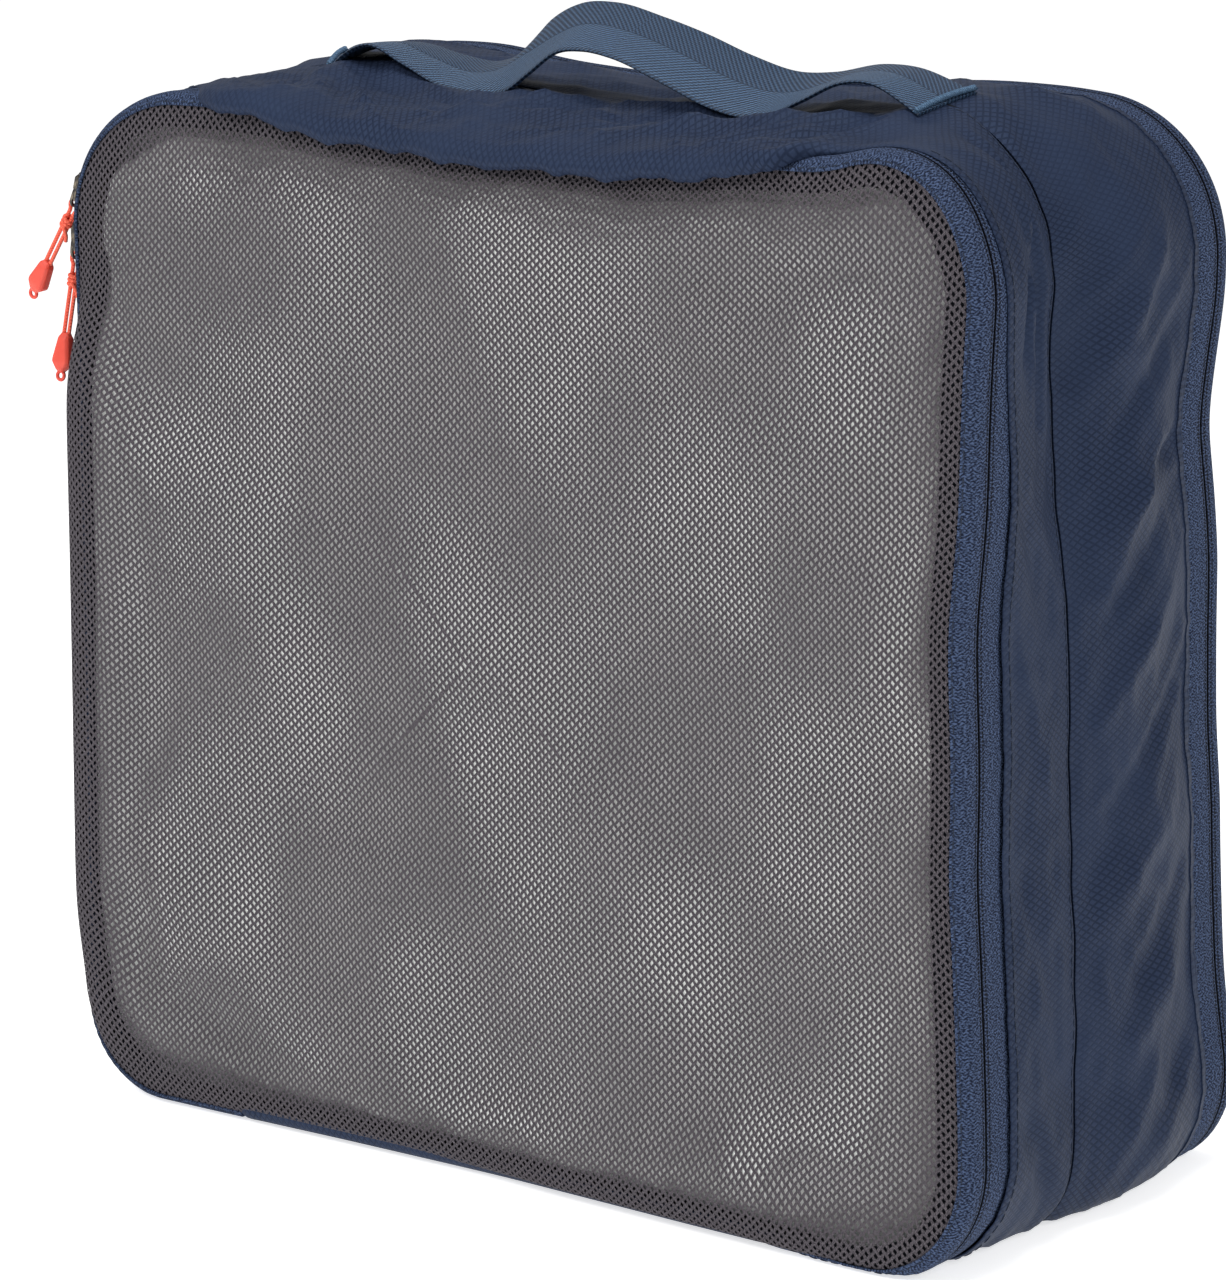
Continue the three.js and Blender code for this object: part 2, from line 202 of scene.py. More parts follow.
FRONT_OUT = profile(
    base={0: 0, 105: 0}, low_right={45: 5},
    right={47: 3, 79: 0.5, 126: -3.5, 160: -2.6, 205: -4.4, 240: -1, 285: -0.2},
    top_right={30: 1.5, 50: 4, 78: 1},
    top={126: -6, 107: -4.5, 82: -7, 50: -10, 20: -8.5, -17: -8, -57: -5, -78: -2, -107: 1, -132: 0.6},
    top_left={30: 0, 45: 0.8, 60: 0.6},
    left={284: -0.6, 262: -1, 240: -1, 190: -1, 137: -0.6, 83: 0, 45: 0}, low_left={45: 3, 80: 1},
)
SEAM_OUT = profile(
    base={0: 0, 110: 0}, low_right={45: 8.5, 80: 1},
    right={76: 1.4, 115: -1, 150: -3.2, 179: -3.4, 203: -4.6, 218: -7.3, 250: -11, 274: -12.8,
        298: -12.6}, top_right={30: -10.3, 70: -2},
    top={131: 2.6, 97: 2.6, 59: -2.5, 15: -1.4, -28: 2.1, -90: 9, -108: 9.5, -120: 5},
    top_left={12: 0.5, 60: 0}, left={240: -1, 120: 2}, low_left={45: 4},
)
MIDDLE_OUT = profile(
    base={0: 0, 120: 0}, low_right={45: 10}, right={60: 3.5, 120: 1, 200: -1.5, 250: -3.5, 298: -4},
    top_right={30: -4, 60: -1}, top={131: 7, 108: 5, 60: 0, 0: -2, -60: 3, -110: 8, -124: 4.5},
    top_left={20: 2.5, 60: 1.5}, left={200: 3, 80: 4}, low_left={45: 4},
)
REAR_OUT = profile(
    base={0: 0, 120: 0}, low_right={45: 11},
    right={64: 1.5, 110: -1.5, 152: -2.6, 195: -5, 248: -5.6, 287: -4.2, 312: -3.6},
    top_right={25: -2.4, 45: -1.2, 65: 0.8},
    top={120: 4.5, 88: 5, 50: 2, 0: 0, -34: -1, -86: 2.5, -108: 6.6, -124: 7}, top_left={20: 6, 60: 1},
    left={290: 0.3, 200: 0.4, 60: 0.3}, low_left={45: 3},
)
# How far the zips wander towards the front (-) or the back (+)
FRONT_SHIFT = profile(
    base={0: 0, 80: -4, 140: -6}, low_right={50: -5},
    right={60: -2, 110: 0, 200: -1.5, 240: -1.6, 270: -2}, top_right={20: -1}, top={0: 0},
    left={284: 0.5, 240: 0, 70: 0},
)
# Where the stuffed mesh bulges over its tape: the cube's left edge and part of its base
WRAP = profile(
    base={120: 0.6, 142: 0, -120: 0.25, -30: 0.3, 20: 0.6}, left={286: 0, 254: 1, 64: 1},
    low_left={30: 0.3, 60: 0},
)
# How far the front gusset's hem slips forward over the zip, beyond the place where it is sewn
HEM_REACH = profile(
    base={0: 0}, right={190: 0, 250: 0.5, 285: 6}, top_right={30: 9.5, 80: 12.5},
    top={110: 13, 0: 13, -115: 13, -127: 5}, top_left={8: 0.4, 30: 0},
)
REAR_SHIFT = profile(
    blur=6,
    base={0: 0}, low_right={60: 1.5},
    right={64: 2.2, 122: 3, 150: 0, 173: 1, 203: 3, 225: 0, 250: -5.5, 268: -3, 292: 1.5, 314: 0},
    top={0: 0}, left={260: 0, 60: 0},
)
# The front gusset's fold that hangs over the top of the mesh cover: its height, and where it is
LIP_OUT = profile(
    blur=3.5,
    top={118: -6, 107: -10.4, 94: -12.4, 82: -14.2, 62: -14.6, 50: -17.5, 38: -15.4, 2: -15.7, -34: -13.4,
        -57: -12, -78: -8.5, -107: -4.5, -128: -5},
)
OVERHANG = profile(
    blur=3,
    base={0: 0}, top_right={60: 0, 75: 0.12},
    top={128: 0.24, 119: 0.45, 112: 1, -108: 1, -120: 0.8, -128: 0.42}, top_left={7: 0.03, 20: 0},
)

EDGE_RADIUS = 7  # the zip tape's bend from the side of the cube round to its cover
EDGE_START = HALF_DEPTH - EDGE_RADIUS
GROOVE_DEPTH = 0.45
GROOVE_WIDTH = 1.1
# The near-black tape under the slit stands in for the slit's shade: painted shade.
SEAM_SLIT = 0.6  # half the dark line between the two gussets, over the tape that joins them
FLOOR_CLEARANCE = 1.3  # the outermost layer rests this far above the surface that the cube stands on


def lean(u, v):
    """How far the cloth stands out at depth v, blended from the four depths' profiles."""
    stops = (-TAPE_INNER_Y, SEAM_Y, 22, TAPE_INNER_Y)
    profiles = (FRONT_OUT, SEAM_OUT, MIDDLE_OUT, REAR_OUT)
    total = profiles[0](u)
    for k in range(3):
        share = smooth_step(v, stops[k], stops[k + 1])
        total = total + share * (profiles[k + 1](u) - profiles[k](u))
    return total


def crown(v):
    """The soft swell of each gusset between its sewn edges, and the groove at the seam."""
    front = np.clip((v + TAPE_INNER_Y) / (SEAM_Y + TAPE_INNER_Y), 0, 1)
    rear = np.clip((v - SEAM_Y) / (TAPE_INNER_Y - SEAM_Y), 0, 1)
    swell = 1.4 * np.sin(math.pi * front) + 2.6 * np.sin(math.pi * rear)
    return swell - GROOVE_DEPTH * np.exp(-np.abs(v - SEAM_Y) / GROOVE_WIDTH)


FOLD_STRENGTH = 1.35  # all the gussets' creases together, deepened by this much


def creases(rows, a, b, around=None):
    """Heights of soft creases; each row gives both ends as (a, b), its height and its width, in mm."""
    total = np.zeros(np.broadcast(a, b).shape)
    for a0, b0, a1, b1, height, width in rows:
        da, db = a1 - a0, b1 - b0
        length = math.hypot(da, db)
        near = a - a0
        if around:
            near = np.mod(near + around / 2, around) - around / 2
        along = (near * da + (b - b0) * db) / length
        across = (near * db - (b - b0) * da) / length
        taper = np.clip(1 - (2 * along / length - 1) ** 2, 0, None)
        total = total + height * taper * np.exp(-((across / width) ** 2))
    return total


def fold_heights(u, v):
    return FOLD_STRENGTH * creases(FOLDS, u, v, LOOP)


FOLDS = [  # the gussets' creases, placed after the photo
    # right side, rear gusset: soft diagonal waves from the rear zip down to the seam
    (right(322), 40, right(262), -10, 1.6, 6), (right(296), 52, right(238), -8, -2.0, 5),
    (right(262), 54, right(214), -6, 2.0, 6), (right(240), 56, right(186), -12, -1.8, 5),
    (right(214), 54, right(160), -6, 1.6, 7), (right(178), 56, right(132), 0, -1.6, 5),
    (right(150), 54, right(96), -10, 1.6, 7), (right(118), 56, right(70), 8, -1.6, 6),
    (right(92), 50, right(40), -8, 1.5, 7), (right(60), 54, right(14), 10, -1.2, 5),
    (right(250), 57, right(238), 20, -2.6, 5),
    # right side, front gusset: long folds beside the seam, and a hollow beside the zip
    (top_right(50), -30, right(226), -30, 1.3, 3.2), (top_right(60), -37, right(250), -37, -2.0, 4),
    (top_right(35), -46, right(262), -45, -2.0, 6), (right(250), -52, right(196), -28, -1.6, 5),
    (right(200), -50, right(140), -30, 1.3, 6), (right(130), -50, right(60), -26, -1.2, 6),
    (top_right(86), -24, top_right(8), -48, 2.2, 2.6), (top_right(80), -30, right(276), -52, -2.4, 3),
    (top_right(70), -43, right(256), -42, 1.8, 2.4),
    (right(60), -54, right(6), -24, -2.2, 5),
    # top: folds that fan out from the handle's ends, and long crumples along the front
    (top(120), -34, top(40), -62, 2.4, 3.6), (top(112), -26, top(20), -42, -2.6, 3.4),
    (top(96), -24, top(-20), -30, 2.0, 3), (top(124), -40, top(86), -80, -2.2, 4),
    (top(70), -44, top(-30), -56, -1.8, 4), (top(30), -52, top(-60), -72, 1.8, 5),
    (top(-60), -26, top(10), -38, 1.8, 4), (top(-96), -30, top(-24), -66, -2.2, 5),
    (top(-104), -36, top(-70), -80, 2.2, 5), (top(-30), -34, top(-70), -22, -2.0, 4),
    (top(130), -14, top_right(40), -16, 1.6, 4), (top(118), -6, top(50), 18, -2.0, 5),
    (top(124), 4, top_right(55), 44, 1.6, 7), (top(96), 0, top(10), 40, 1.6, 7),
    (top(-96), 0, top(-30), 34, 1.8, 8), (top(-104), 10, top_left(30), 46, -1.8, 7),
    (top(-50), -6, top(30), 12, -1.6, 5), (top(60), 30, top(-40), 50, -1.4, 6),
    (top(108), -30, top(74), -84, 1.8, 2.2), (top(118), -40, top(104), -84, -2.4, 3),
    (top(88), -30, top(30), -80, 1.6, 2.4), (top(-112), -30, top(-96), -82, -2.0, 2.6),
    (top(-100), -34, top(-50), -76, 1.8, 2.4), (top(-88), -30, top(-2), -62, -1.8, 2.6),
    (top(56), -36, top(6), -84, -1.6, 3), (top(-10), -30, top(-34), -84, 1.4, 3),
    # left side: the same kind of soft waves
    (left(310), 40, left(252), -8, 1.8, 7), (left(270), 52, left(220), -8, -1.8, 6),
    (left(230), 54, left(176), -4, 1.6, 7), (left(180), 52, left(120), -10, -1.6, 6),
    (left(130), 54, left(74), -6, 1.6, 7), (left(84), 52, left(30), 6, -1.4, 6),
    (left(290), -30, left(210), -28, 2.0, 4), (left(200), -48, left(120), -28, -1.4, 5),
    (left(120), -50, left(50), -30, 1.3, 6),
]


def cloth_waves(u, v):
    """Folds and small waves of the gussets, dying out at the sewn edges."""
    v = np.broadcast_to(v, np.broadcast(u, v).shape)
    edge = smooth_step(TAPE_INNER_Y + 1 - np.abs(v), 0, 10)
    seam = smooth_step(np.abs(v - SEAM_Y), 0, 6)
    small = 0.5 * field(u, v, 34, 11) + 0.28 * field(u, 1.6 * v, 15, 12)
    sharp = 0.55 * (1 - np.abs(field(0.8 * u + 0.5 * v, v - 0.4 * u, 46, 13))) ** 3
    # Long diagonal waves of the rear gusset, where the filling pulls on it
    along, across = 0.77 * u + 0.64 * v, 0.64 * u - 0.77 * v
    pulled = 0.8 * field(along / 5, across, 24, 17)
    pulled = pulled + 1.1 * (1 - np.abs(field(along / 6, across, 30, 18))) ** 3
    pulled = pulled * smooth_step(v, SEAM_Y, SEAM_Y + 14)
    return (fold_heights(u, v) + small + sharp + pulled) * edge * (0.25 + 0.75 * seam)


def pucker(u, v, line, reach):
    """The small gathers that a row of stitching draws into the cloth beside it."""
    near = np.exp(-np.abs(v - line) / reach)
    gathers = 0.25 * np.sin(TAU * u / 7.5 + 2 * field(u, 0 * v, 60, 22))
    return near * (0.35 * field(u, v * 0.2, 9, 21) + gathers)


STRAP_GAP = 1.9  # from the strap's upper face down to the cloth it lies on
STRAP_LEFT_END = -114.5  # where the strap's slanting left end is sewn, and how far it slants each way
STRAP_LEFT_SLANT = 8.5
STRAP_RIGHT_END = 129


def under_strap(points):
    """Cloth of the top: it stays below the handle's strap, and is drawn up to it where its ends are sewn."""
    x, y, z = np.moveaxis(points, -1, 0)
    across = np.clip((y - SEAM_Y) / STRAP_HALF, -1, 1)
    beside = np.clip(np.abs(y - SEAM_Y) - STRAP_HALF, 0, None)
    left_end = STRAP_LEFT_END - STRAP_LEFT_SLANT * across
    past = np.clip(x - STRAP_RIGHT_END, 0, None) + np.clip(left_end - x, 0, None)
    strap = strap_heights(np.clip(x, left_end, STRAP_RIGHT_END), across) - STRAP_GAP
    limit = strap + 0.9 * beside + 0.5 * past
    lowered = limit - 0.8 * np.logaddexp(0, (limit - z) / 0.8)
    sewn = np.exp(-(((x - STRAP_RIGHT_END) / 10) ** 2)) + np.exp(-(((x - left_end) / 10) ** 2))
    sewn = sewn * np.exp(-((beside / 9) ** 2))
    height = lowered + np.clip(sewn, 0, 1) * (strap + 0.7 - lowered)
    points[..., 2] = np.where(z > SIDE_HIGH, height, z)
    return points


def skin(u, v, lift=0.0):
    """Points (mm) of the cube's side skin at outline place u and nominal depth v, raised by lift."""
    u, v = np.broadcast_arrays(np.asarray(u, float), np.asarray(v, float))
    x, z, nx, nz = outline(u)
    beyond = np.clip(np.abs(v) - EDGE_START, 0, EDGE_RADIUS * math.pi / 2)
    bend = beyond / EDGE_RADIUS
    out = lean(u, v) + crown(v) + cloth_waves(u, v) - EDGE_RADIUS * (1 - np.cos(bend))
    out = out + 0.5 * pucker(u, v, -TAPE_INNER_Y, 4) + 0.8 * pucker(u + 3, v, TAPE_INNER_Y, 5)
    depth = np.where(beyond > 0, np.sign(v) * (EDGE_START + EDGE_RADIUS * np.sin(bend)), v)
    front_share = smooth_step(-v, 20, TAPE_INNER_Y)
    rear_share = smooth_step(v, 10, TAPE_INNER_Y)
    depth = depth + front_share * FRONT_SHIFT(u) + rear_share * REAR_SHIFT(u)
    depth = depth + 0.6 * np.exp(-np.abs(v - SEAM_Y) / 5) * field(u, 0 * v, 17, 24)
    depth = depth + lift * np.sin(bend) * np.sign(v)
    out = out + lift * np.cos(bend)
    height = np.maximum(z + nz * out, FLOOR_CLEARANCE - lift)
    return under_strap(np.stack([x + nx * out, depth, height], -1))


# ---- The front gusset: its front edge lies beside the zip on the sides, and hangs over it along the top ----

GUSSET_SIDE = np.array([  # depth, and height above the skin, from the seam to the hidden end of the hem
    (SEAM_Y - SEAM_SLIT, 0), (-19.2, 0), (-25, 0), (-33, 0), (-42, 0), (-50, 0.1), (-56.0, 0.9),
    (-57.6, 0.7), (-57.4, 0.2), (-54.0, -0.1),
])
GUSSET_TOP = np.array([  # the same stations where the gusset hangs over the front; heights from the CAD's top
    (SEAM_Y - SEAM_SLIT, 0), (-19.5, 0), (-32, 0), (-48, -1), (-64, -3), (-78, -5.4), (-86.4, -9.6),
    (-87.6, -13.2), (-85.0, -15.6), (-74, -11),
])
GUSSET_STOPS = np.array([0, 0.04, 0.2, 0.4, 0.6, 0.78, 0.9, 0.94, 0.965, 1.0])
LIP_NOMINAL = -15.6


def hermite(stops, rows, t):
    """Smooth values at t through rows at the given stops; rows may hold arrays."""
    t = np.asarray(t, float)
    k = np.clip(np.searchsorted(stops, t, side="right") - 1, 0, len(stops) - 2)
    width = stops[k + 1] - stops[k]
    s = (t - stops[k]) / width
    rows = np.asarray(rows)
    slopes = np.gradient(rows, stops, axis=0)
    shape = s.shape
    s = s.reshape(shape + (1,) * (rows.ndim - 1))
    width = width.reshape(s.shape)
    return (
        (2 * s**3 - 3 * s**2 + 1) * rows[k]
        + (s**3 - 2 * s**2 + s) * width * slopes[k]
        + (3 * s**2 - 2 * s**3) * rows[k + 1]
        + (s**3 - s**2) * width * slopes[k + 1]
    )


def front_gusset_points(u, t, lift=0.0):
    """Points of the front gusset at places u, and at shares t of the way from the seam to the hem's end."""
    side = hermite(GUSSET_STOPS, GUSSET_SIDE, t)
    over = hermite(GUSSET_STOPS, GUSSET_TOP, t)
    u = u[:, None]
    t = np.broadcast_to(t[None, :], (len(u), len(t)))
    reach = HEM_REACH(u) * smooth_step(t, 0.3, 0.9) * (1 - OVERHANG(u))
    side_skin = skin(u, side[None, :, 0] - reach, lift)
    x, z, nx, nz = outline(u)
    side_skin[..., 0] += nx * side[None, :, 1]
    side_skin[..., 2] += nz * side[None, :, 1]
    lip_share = smooth_step(t, 0.3, 0.92)
    rise = over[None, :, 1] + lip_share * (LIP_OUT(u) - LIP_NOMINAL)
    seam_share = 1 - smooth_step(t, 0.05, 0.7)
    calm = smooth_step(1 - t, 0.0, 0.14)
    ruffle = (1 - calm) * 1.1 * field(u, 0 * t, 14, 31)
    rise = rise + seam_share * SEAM_OUT(u) + ruffle + lift
    depth = np.broadcast_to(over[None, :, 0], t.shape)
    waves = fold_heights(u, depth) + 0.9 * field(u, depth, 30, 32) + 0.45 * field(u, 2 * depth, 13, 33)
    sharp = 1.5 * (1 - np.abs(field(0.6 * u + 0.3 * depth, 1.3 * depth - 0.12 * u, 38, 34))) ** 3
    groove = -GROOVE_DEPTH * np.exp(-np.abs(depth - SEAM_Y) / GROOVE_WIDTH)
    rise = rise + (waves + sharp) * (0.25 + 0.75 * calm) * smooth_step(t, 0, 0.12) + groove
    uneven = 0.4 * (1 - calm) * field(u, 5 + 0 * t, 18, 35)
    hung = np.stack([x + nx * rise, depth - uneven, z + nz * rise], -1)
    share = OVERHANG(u)[..., None]
    return under_strap(side_skin * (1 - share) + hung * share)


# ---- Covers: a point of the front view, pushed out from the cover's sewn edge ----

DIAGONAL = 14  # the distance inside the outline is rounded off over this width at a corner's diagonal
DEEP_CORNER = 150  # within this distance of two sides a place counts as inside their corner


def border(x, z):
    """How far inside the outline points of the front view lie, and the nearest outline place."""
    low = z < HEIGHT / 2
    radius = np.where(low, BOTTOM_RADIUS, TOP_RADIUS)
    centre_z = np.where(low, BOTTOM_RADIUS, HEIGHT - TOP_RADIUS)
    qx = np.abs(x) - (HALF_WIDTH - radius)
    qz = np.where(low, centre_z - z, z - centre_z)
    corner = (qx > 0) & (qz > 0)
    nearest = np.minimum(radius - qx, radius - qz)
    softened = DIAGONAL * np.log1p(np.exp(-np.abs(qx - qz) / DIAGONAL)) * smooth_step(nearest, 34, 80)
    inside = np.where(corner, radius - np.hypot(qx, qz), nearest - softened)
    turn = np.degrees(np.arctan2(np.maximum(qz, 0), np.maximum(qx, 1e-6)))
    side = qx > qz
    on_right = np.where(low, low_right(90 - turn), top_right(turn))
    on_left = np.where(low, low_left(turn), top_left(90 - turn))
    flat_right = np.where(side, right(z), np.where(low, base(x), top(x)))
    flat_left = np.where(side, left(z), np.where(low, base(x), top(x)))
    place = np.where(x > 0, np.where(corner, on_right, flat_right), np.where(corner, on_left, flat_left))
    # Deep inside a corner the place turns evenly from the side to the base or top, without a jump
    deep_x = np.abs(x) - (HALF_WIDTH - DEEP_CORNER)
    deep_z = np.where(low, DEEP_CORNER - z, z - (HEIGHT - DEEP_CORNER))
    turned = np.degrees(np.arctan2(np.maximum(deep_z, 1e-6), np.maximum(deep_x, 1e-6))) / 90
    corner_z = np.where(low, DEEP_CORNER, HEIGHT - DEEP_CORNER)
    corner_x = np.sign(x) * (HALF_WIDTH - DEEP_CORNER)
    side_end = np.where(x > 0, right(0) + corner_z, left(0) - corner_z)
    flat_end = np.where(low, base(corner_x), top(corner_x))
    even = side_end + (flat_end - side_end) * turned
    share = smooth_step(inside, 10, 34) * ((deep_x > 0) & (deep_z > 0))
    return inside, place + (even - place) * share


NET_PITCH = 2.95  # the mesh's holes: spacing along a row, and between staggered rows
NET_ROW = 1.42
COVER_ROLL = EDGE_RADIUS - 0.95  # the cover's edge follows the inside of its tape's bend
NET_EDGE = 1.6  # the mesh reaches this far under its tape
WRAP_FADE = 45  # over this distance inwards the bulge's extra length dies out
# The mesh's bulge over its tape on the left edge: its own length from its sewn edge, how far inside the
# outline it lies there, and its depth
WRAP_RUN = np.array([0, 4, 7, 11, 17.5, 25.5])
WRAP_CURVE = np.array([(1.9, 78.0), (0.7, 81.3), (0.5, 84.6), (3.2, 86.3), (9.4, 87.2), (17.2, 87.5)])


def wrapped(inside):
    """Where the mesh bulges over an edge: how far inside the outline it lies there, and its depth."""
    run = inside - NET_EDGE
    curve = hermite(WRAP_RUN, WRAP_CURVE, np.clip(run, 0, WRAP_RUN[-1]))
    saved = WRAP_RUN[-1] + NET_EDGE - WRAP_CURVE[-1, 0]
    past = np.clip(run - WRAP_RUN[-1], 0, None)
    place = np.where(past > 0, inside - saved * np.exp(-past / WRAP_FADE), curve[..., 0])
    return place, curve[..., 1]


COVER_CREASES = [  # the mesh's soft creases
    (-172, 62, -60, 6, -3.2, 9), (-160, 92, -30, 26, 2.2, 14), (-150, 320, -96, 250, -1.8, 12),
    (-60, 330, 40, 180, -1.6, 13), (60, 330, 128, 210, 2.0, 12), (150, 320, 92, 292, -2.2, 9),
    (-20, 200, 110, 60, 1.5, 16), (150, 120, 60, 14, -1.8, 12), (-140, 250, -60, 120, 1.4, 15),
]


def cover_points(x, z, side, back=0.0):
    """Points of a cover's outer face at front-view places; side is -1 in front, back moves them inwards."""
    inside, u = border(x, z)
    free = np.clip(inside - EDGE_RADIUS, 0, None)
    near = np.exp(-free / 26)
    _, _, nx, nz = outline(u)
    out = (FRONT_OUT if side < 0 else REAR_OUT)(u)
    shift = (FRONT_SHIFT if side < 0 else REAR_SHIFT)(u)
    if side < 0:
        plump = 5.6 * (1 - np.exp(-free / 20)) * (0.8 + 0.2 * np.clip(z, 0, 200) / 200)
        lumps = 1.9 * field(x, z, 120, 41) + 0.8 * field(x, z, 52, 42) + creases(COVER_CREASES, x, z)
    else:
        plump = 2.6 * (1 - np.exp(-free / 30))
        lumps = 1.6 * field(x, z, 90, 43) + 0.4 * field(x, z, 58, 44)
        lumps = lumps + 1.4 * (1 - np.abs(field(x + 0.6 * z, z, 80, 45))) ** 4
    lumps = lumps * smooth_step(inside, EDGE_RADIUS, 36)
    roll = np.clip(EDGE_RADIUS - inside, 0, 0.98 * COVER_ROLL)
    depth = EDGE_START + np.sqrt(COVER_ROLL**2 - roll**2) + plump + lumps + side * shift * near
    if side < 0:
        share = WRAP(u)
        place, wrap_depth = wrapped(inside)
        moved = share * (inside - place)
        x = x + nx * moved
        z = z + nz * moved
        level = wrap_depth - shift + (plump + lumps) * smooth_step(inside, 14, 60)
        fade = share * (1 - smooth_step(inside, 14, 48))
        depth = depth + (level - depth) * fade
    height = np.maximum(z + nz * out * near, FLOOR_CLEARANCE + 0.8)
    return np.stack([x + nx * out * near, side * (depth - back), height], -1)


# ---- Mesh objects ----


def linked(name, mesh, cloth=None):
    """An object in the scene for a mesh. cloth gives each point's place on its material in mm."""
    if cloth is not None:
        places = np.asarray(cloth, float).reshape(-1, 3) * MM
        stored = mesh.attributes.new("cloth", "FLOAT_VECTOR", "POINT")
        stored.data.foreach_set("vector", places.astype(np.float32).ravel())
    made = bpy.data.objects.new(name, mesh)
    bpy.context.scene.collection.objects.link(made)
    return made


def new_object(name, vertices, faces, cloth=None):
    """A mesh object from points in mm and faces that all have the same number of corners."""
    mesh = bpy.data.meshes.new(name)
    vertices = np.asarray(vertices, float).reshape(-1, 3)
    faces = np.asarray(faces, np.int32)
    mesh.vertices.add(len(vertices))
    mesh.vertices.foreach_set("co", (vertices * MM).astype(np.float32).ravel())
    corners = faces.shape[1]
    mesh.loops.add(faces.size)
    mesh.loops.foreach_set("vertex_index", faces.ravel())
    mesh.polygons.add(len(faces))
    mesh.polygons.foreach_set("loop_start", np.arange(0, faces.size, corners, dtype=np.int32))
    mesh.polygons.foreach_set("use_smooth", np.ones(len(faces), bool))
    mesh.update(calc_edges=True)
    mesh.validate()
    return linked(name, mesh, cloth)


def grid_faces(rows, columns, closed=False, flip=False):
    """Quads between the points of a grid; closed joins the last row to the first."""
    count = rows if closed else rows - 1
    i, j = np.meshgrid(np.arange(count), np.arange(columns - 1), indexing="ij")
    after = (i + 1) % rows
    quads = np.stack([i * columns + j, after * columns + j, after * columns + j + 1, i * columns + j + 1], -1)
    quads = quads.reshape(-1, 4)
    return quads[:, ::-1] if flip else quads


def ring_faces(count, sides, closed=False):
    """Quads round a tube of `count` rings, each with `sides` points."""
    rows, columns = np.divmod(grid_faces(count, sides + 1, closed), sides + 1)
    return rows * sides + columns % sides


def apply_modifiers(made):
    bpy.context.view_layer.update()
    seen = made.evaluated_get(bpy.context.evaluated_depsgraph_get())
    made.data = bpy.data.meshes.new_from_object(seen)
    made.modifiers.clear()


def thicken(made, thickness):
    """Gives a cloth sheet its thickness, inwards from its outer face, and keeps its cut edges crisp."""
    solid = made.modifiers.new("thickness", "SOLIDIFY")
    solid.thickness = thickness * MM
    solid.offset = -1
    apply_modifiers(made)
    made.data.set_sharp_from_angle(angle=math.radians(50))
    return made


def round_edges(made, width, segments, degrees):
    """Bevels the edges that are sharper than an angle."""
    rounding = made.modifiers.new("rounding", "BEVEL")
    rounding.width = width * MM
    rounding.segments = segments
    rounding.limit_method = "ANGLE"
    rounding.angle_limit = math.radians(degrees)
    apply_modifiers(made)


def strip(name, u, v, points, thickness, flip=False, closed=False, across=None):
    """A band of cloth over places u along it and v across it; across gives the cloth's own width."""
    across = v if across is None else across
    cloth = np.stack(np.broadcast_arrays(u[:, None], across, 0.0), -1)
    made = new_object(name, points, grid_faces(len(u), len(v), closed, flip), cloth)
    return thicken(made, thickness)


def dress(made, body, material, replaced=()):
    """Gives a finished piece its body and its material, and hides the CAD nodes that it stands for."""
    made.data.materials.clear()
    made.data.materials.append(material)
    if body is not None:
        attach(made, body)
    if replaced:
        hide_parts(*replaced)
    return made


def tube(name, path, radius, sides=10, closed=False):
    """A round bar along points in mm, with capped ends unless it is closed; radius may vary along it."""
    path = np.asarray(path, float)
    radius = np.broadcast_to(np.asarray(radius, float), len(path))
    if closed:
        along = np.roll(path, -1, 0) - np.roll(path, 1, 0)
    else:
        along = np.gradient(path, axis=0)
    along = along / np.linalg.norm(along, axis=1, keepdims=True)
    first = np.cross(along[0], (0.31, 0.77, 0.55))
    frames = [first / np.linalg.norm(first)]
    for direction in along[1:]:
        carried = frames[-1] - direction * (frames[-1] @ direction)
        frames.append(carried / np.linalg.norm(carried))
    frames = np.array(frames)
    other = np.cross(along, frames)
    turns = np.linspace(0, TAU, sides, endpoint=False)
    turns = turns[None, :, None]
    ring = frames[:, None] * np.cos(turns) + other[:, None] * np.sin(turns)
    points = path[:, None] + radius[:, None, None] * ring
    run = np.concatenate([[0], np.cumsum(np.linalg.norm(np.diff(path, axis=0), axis=1))])
    cloth = np.stack(np.broadcast_arrays(run[:, None], turns[..., 0], radius[:, None]), -1)
    faces = ring_faces(len(path), sides, closed)
    if closed:
        return new_object(name, points, faces, cloth)
    caps = np.stack([path[0], path[-1]])
    count = len(path) * sides
    ends = []
    for k in range(sides):
        after = (k + 1) % sides
        ends.append([count, after, k])
        last = (len(path) - 1) * sides
        ends.append([count + 1, last + k, last + after])
    made_points = np.concatenate([points.reshape(-1, 3), caps])
    made_cloth = np.concatenate([cloth.reshape(-1, 3), cloth[[0, -1], 0]])
    return polygon_object(name, made_points, faces.tolist() + ends, made_cloth)


def polygon_object(name, vertices, faces, cloth=None):
    """The same as new_object, for faces of different sizes."""
    mesh = bpy.data.meshes.new(name)
    mesh.from_pydata((np.asarray(vertices, float) * MM).tolist(), [], faces)
    mesh.shade_smooth()
    return linked(name, mesh, cloth)


def joined(name, parts):
    """Several mesh objects as one piece."""
    vertices, faces, cloth = [], [], []
    count = 0
    for part in parts:
        mesh = part.data
        points = np.empty(len(mesh.vertices) * 3, np.float32)
        mesh.vertices.foreach_get("co", points)
        places = np.zeros(len(mesh.vertices) * 3, np.float32)
        if "cloth" in mesh.attributes:
            mesh.attributes["cloth"].data.foreach_get("vector", places)
        vertices.append(points.reshape(-1, 3) / MM)
        cloth.append(places.reshape(-1, 3) / MM)
        faces.extend([[v + count for v in polygon.vertices] for polygon in mesh.polygons])
        count += len(mesh.vertices)
        bpy.data.objects.remove(part)
    return polygon_object(name, np.concatenate(vertices), faces, np.concatenate(cloth))


# ---- Materials: each pattern is drawn by nodes over the cloth's own millimetres ----


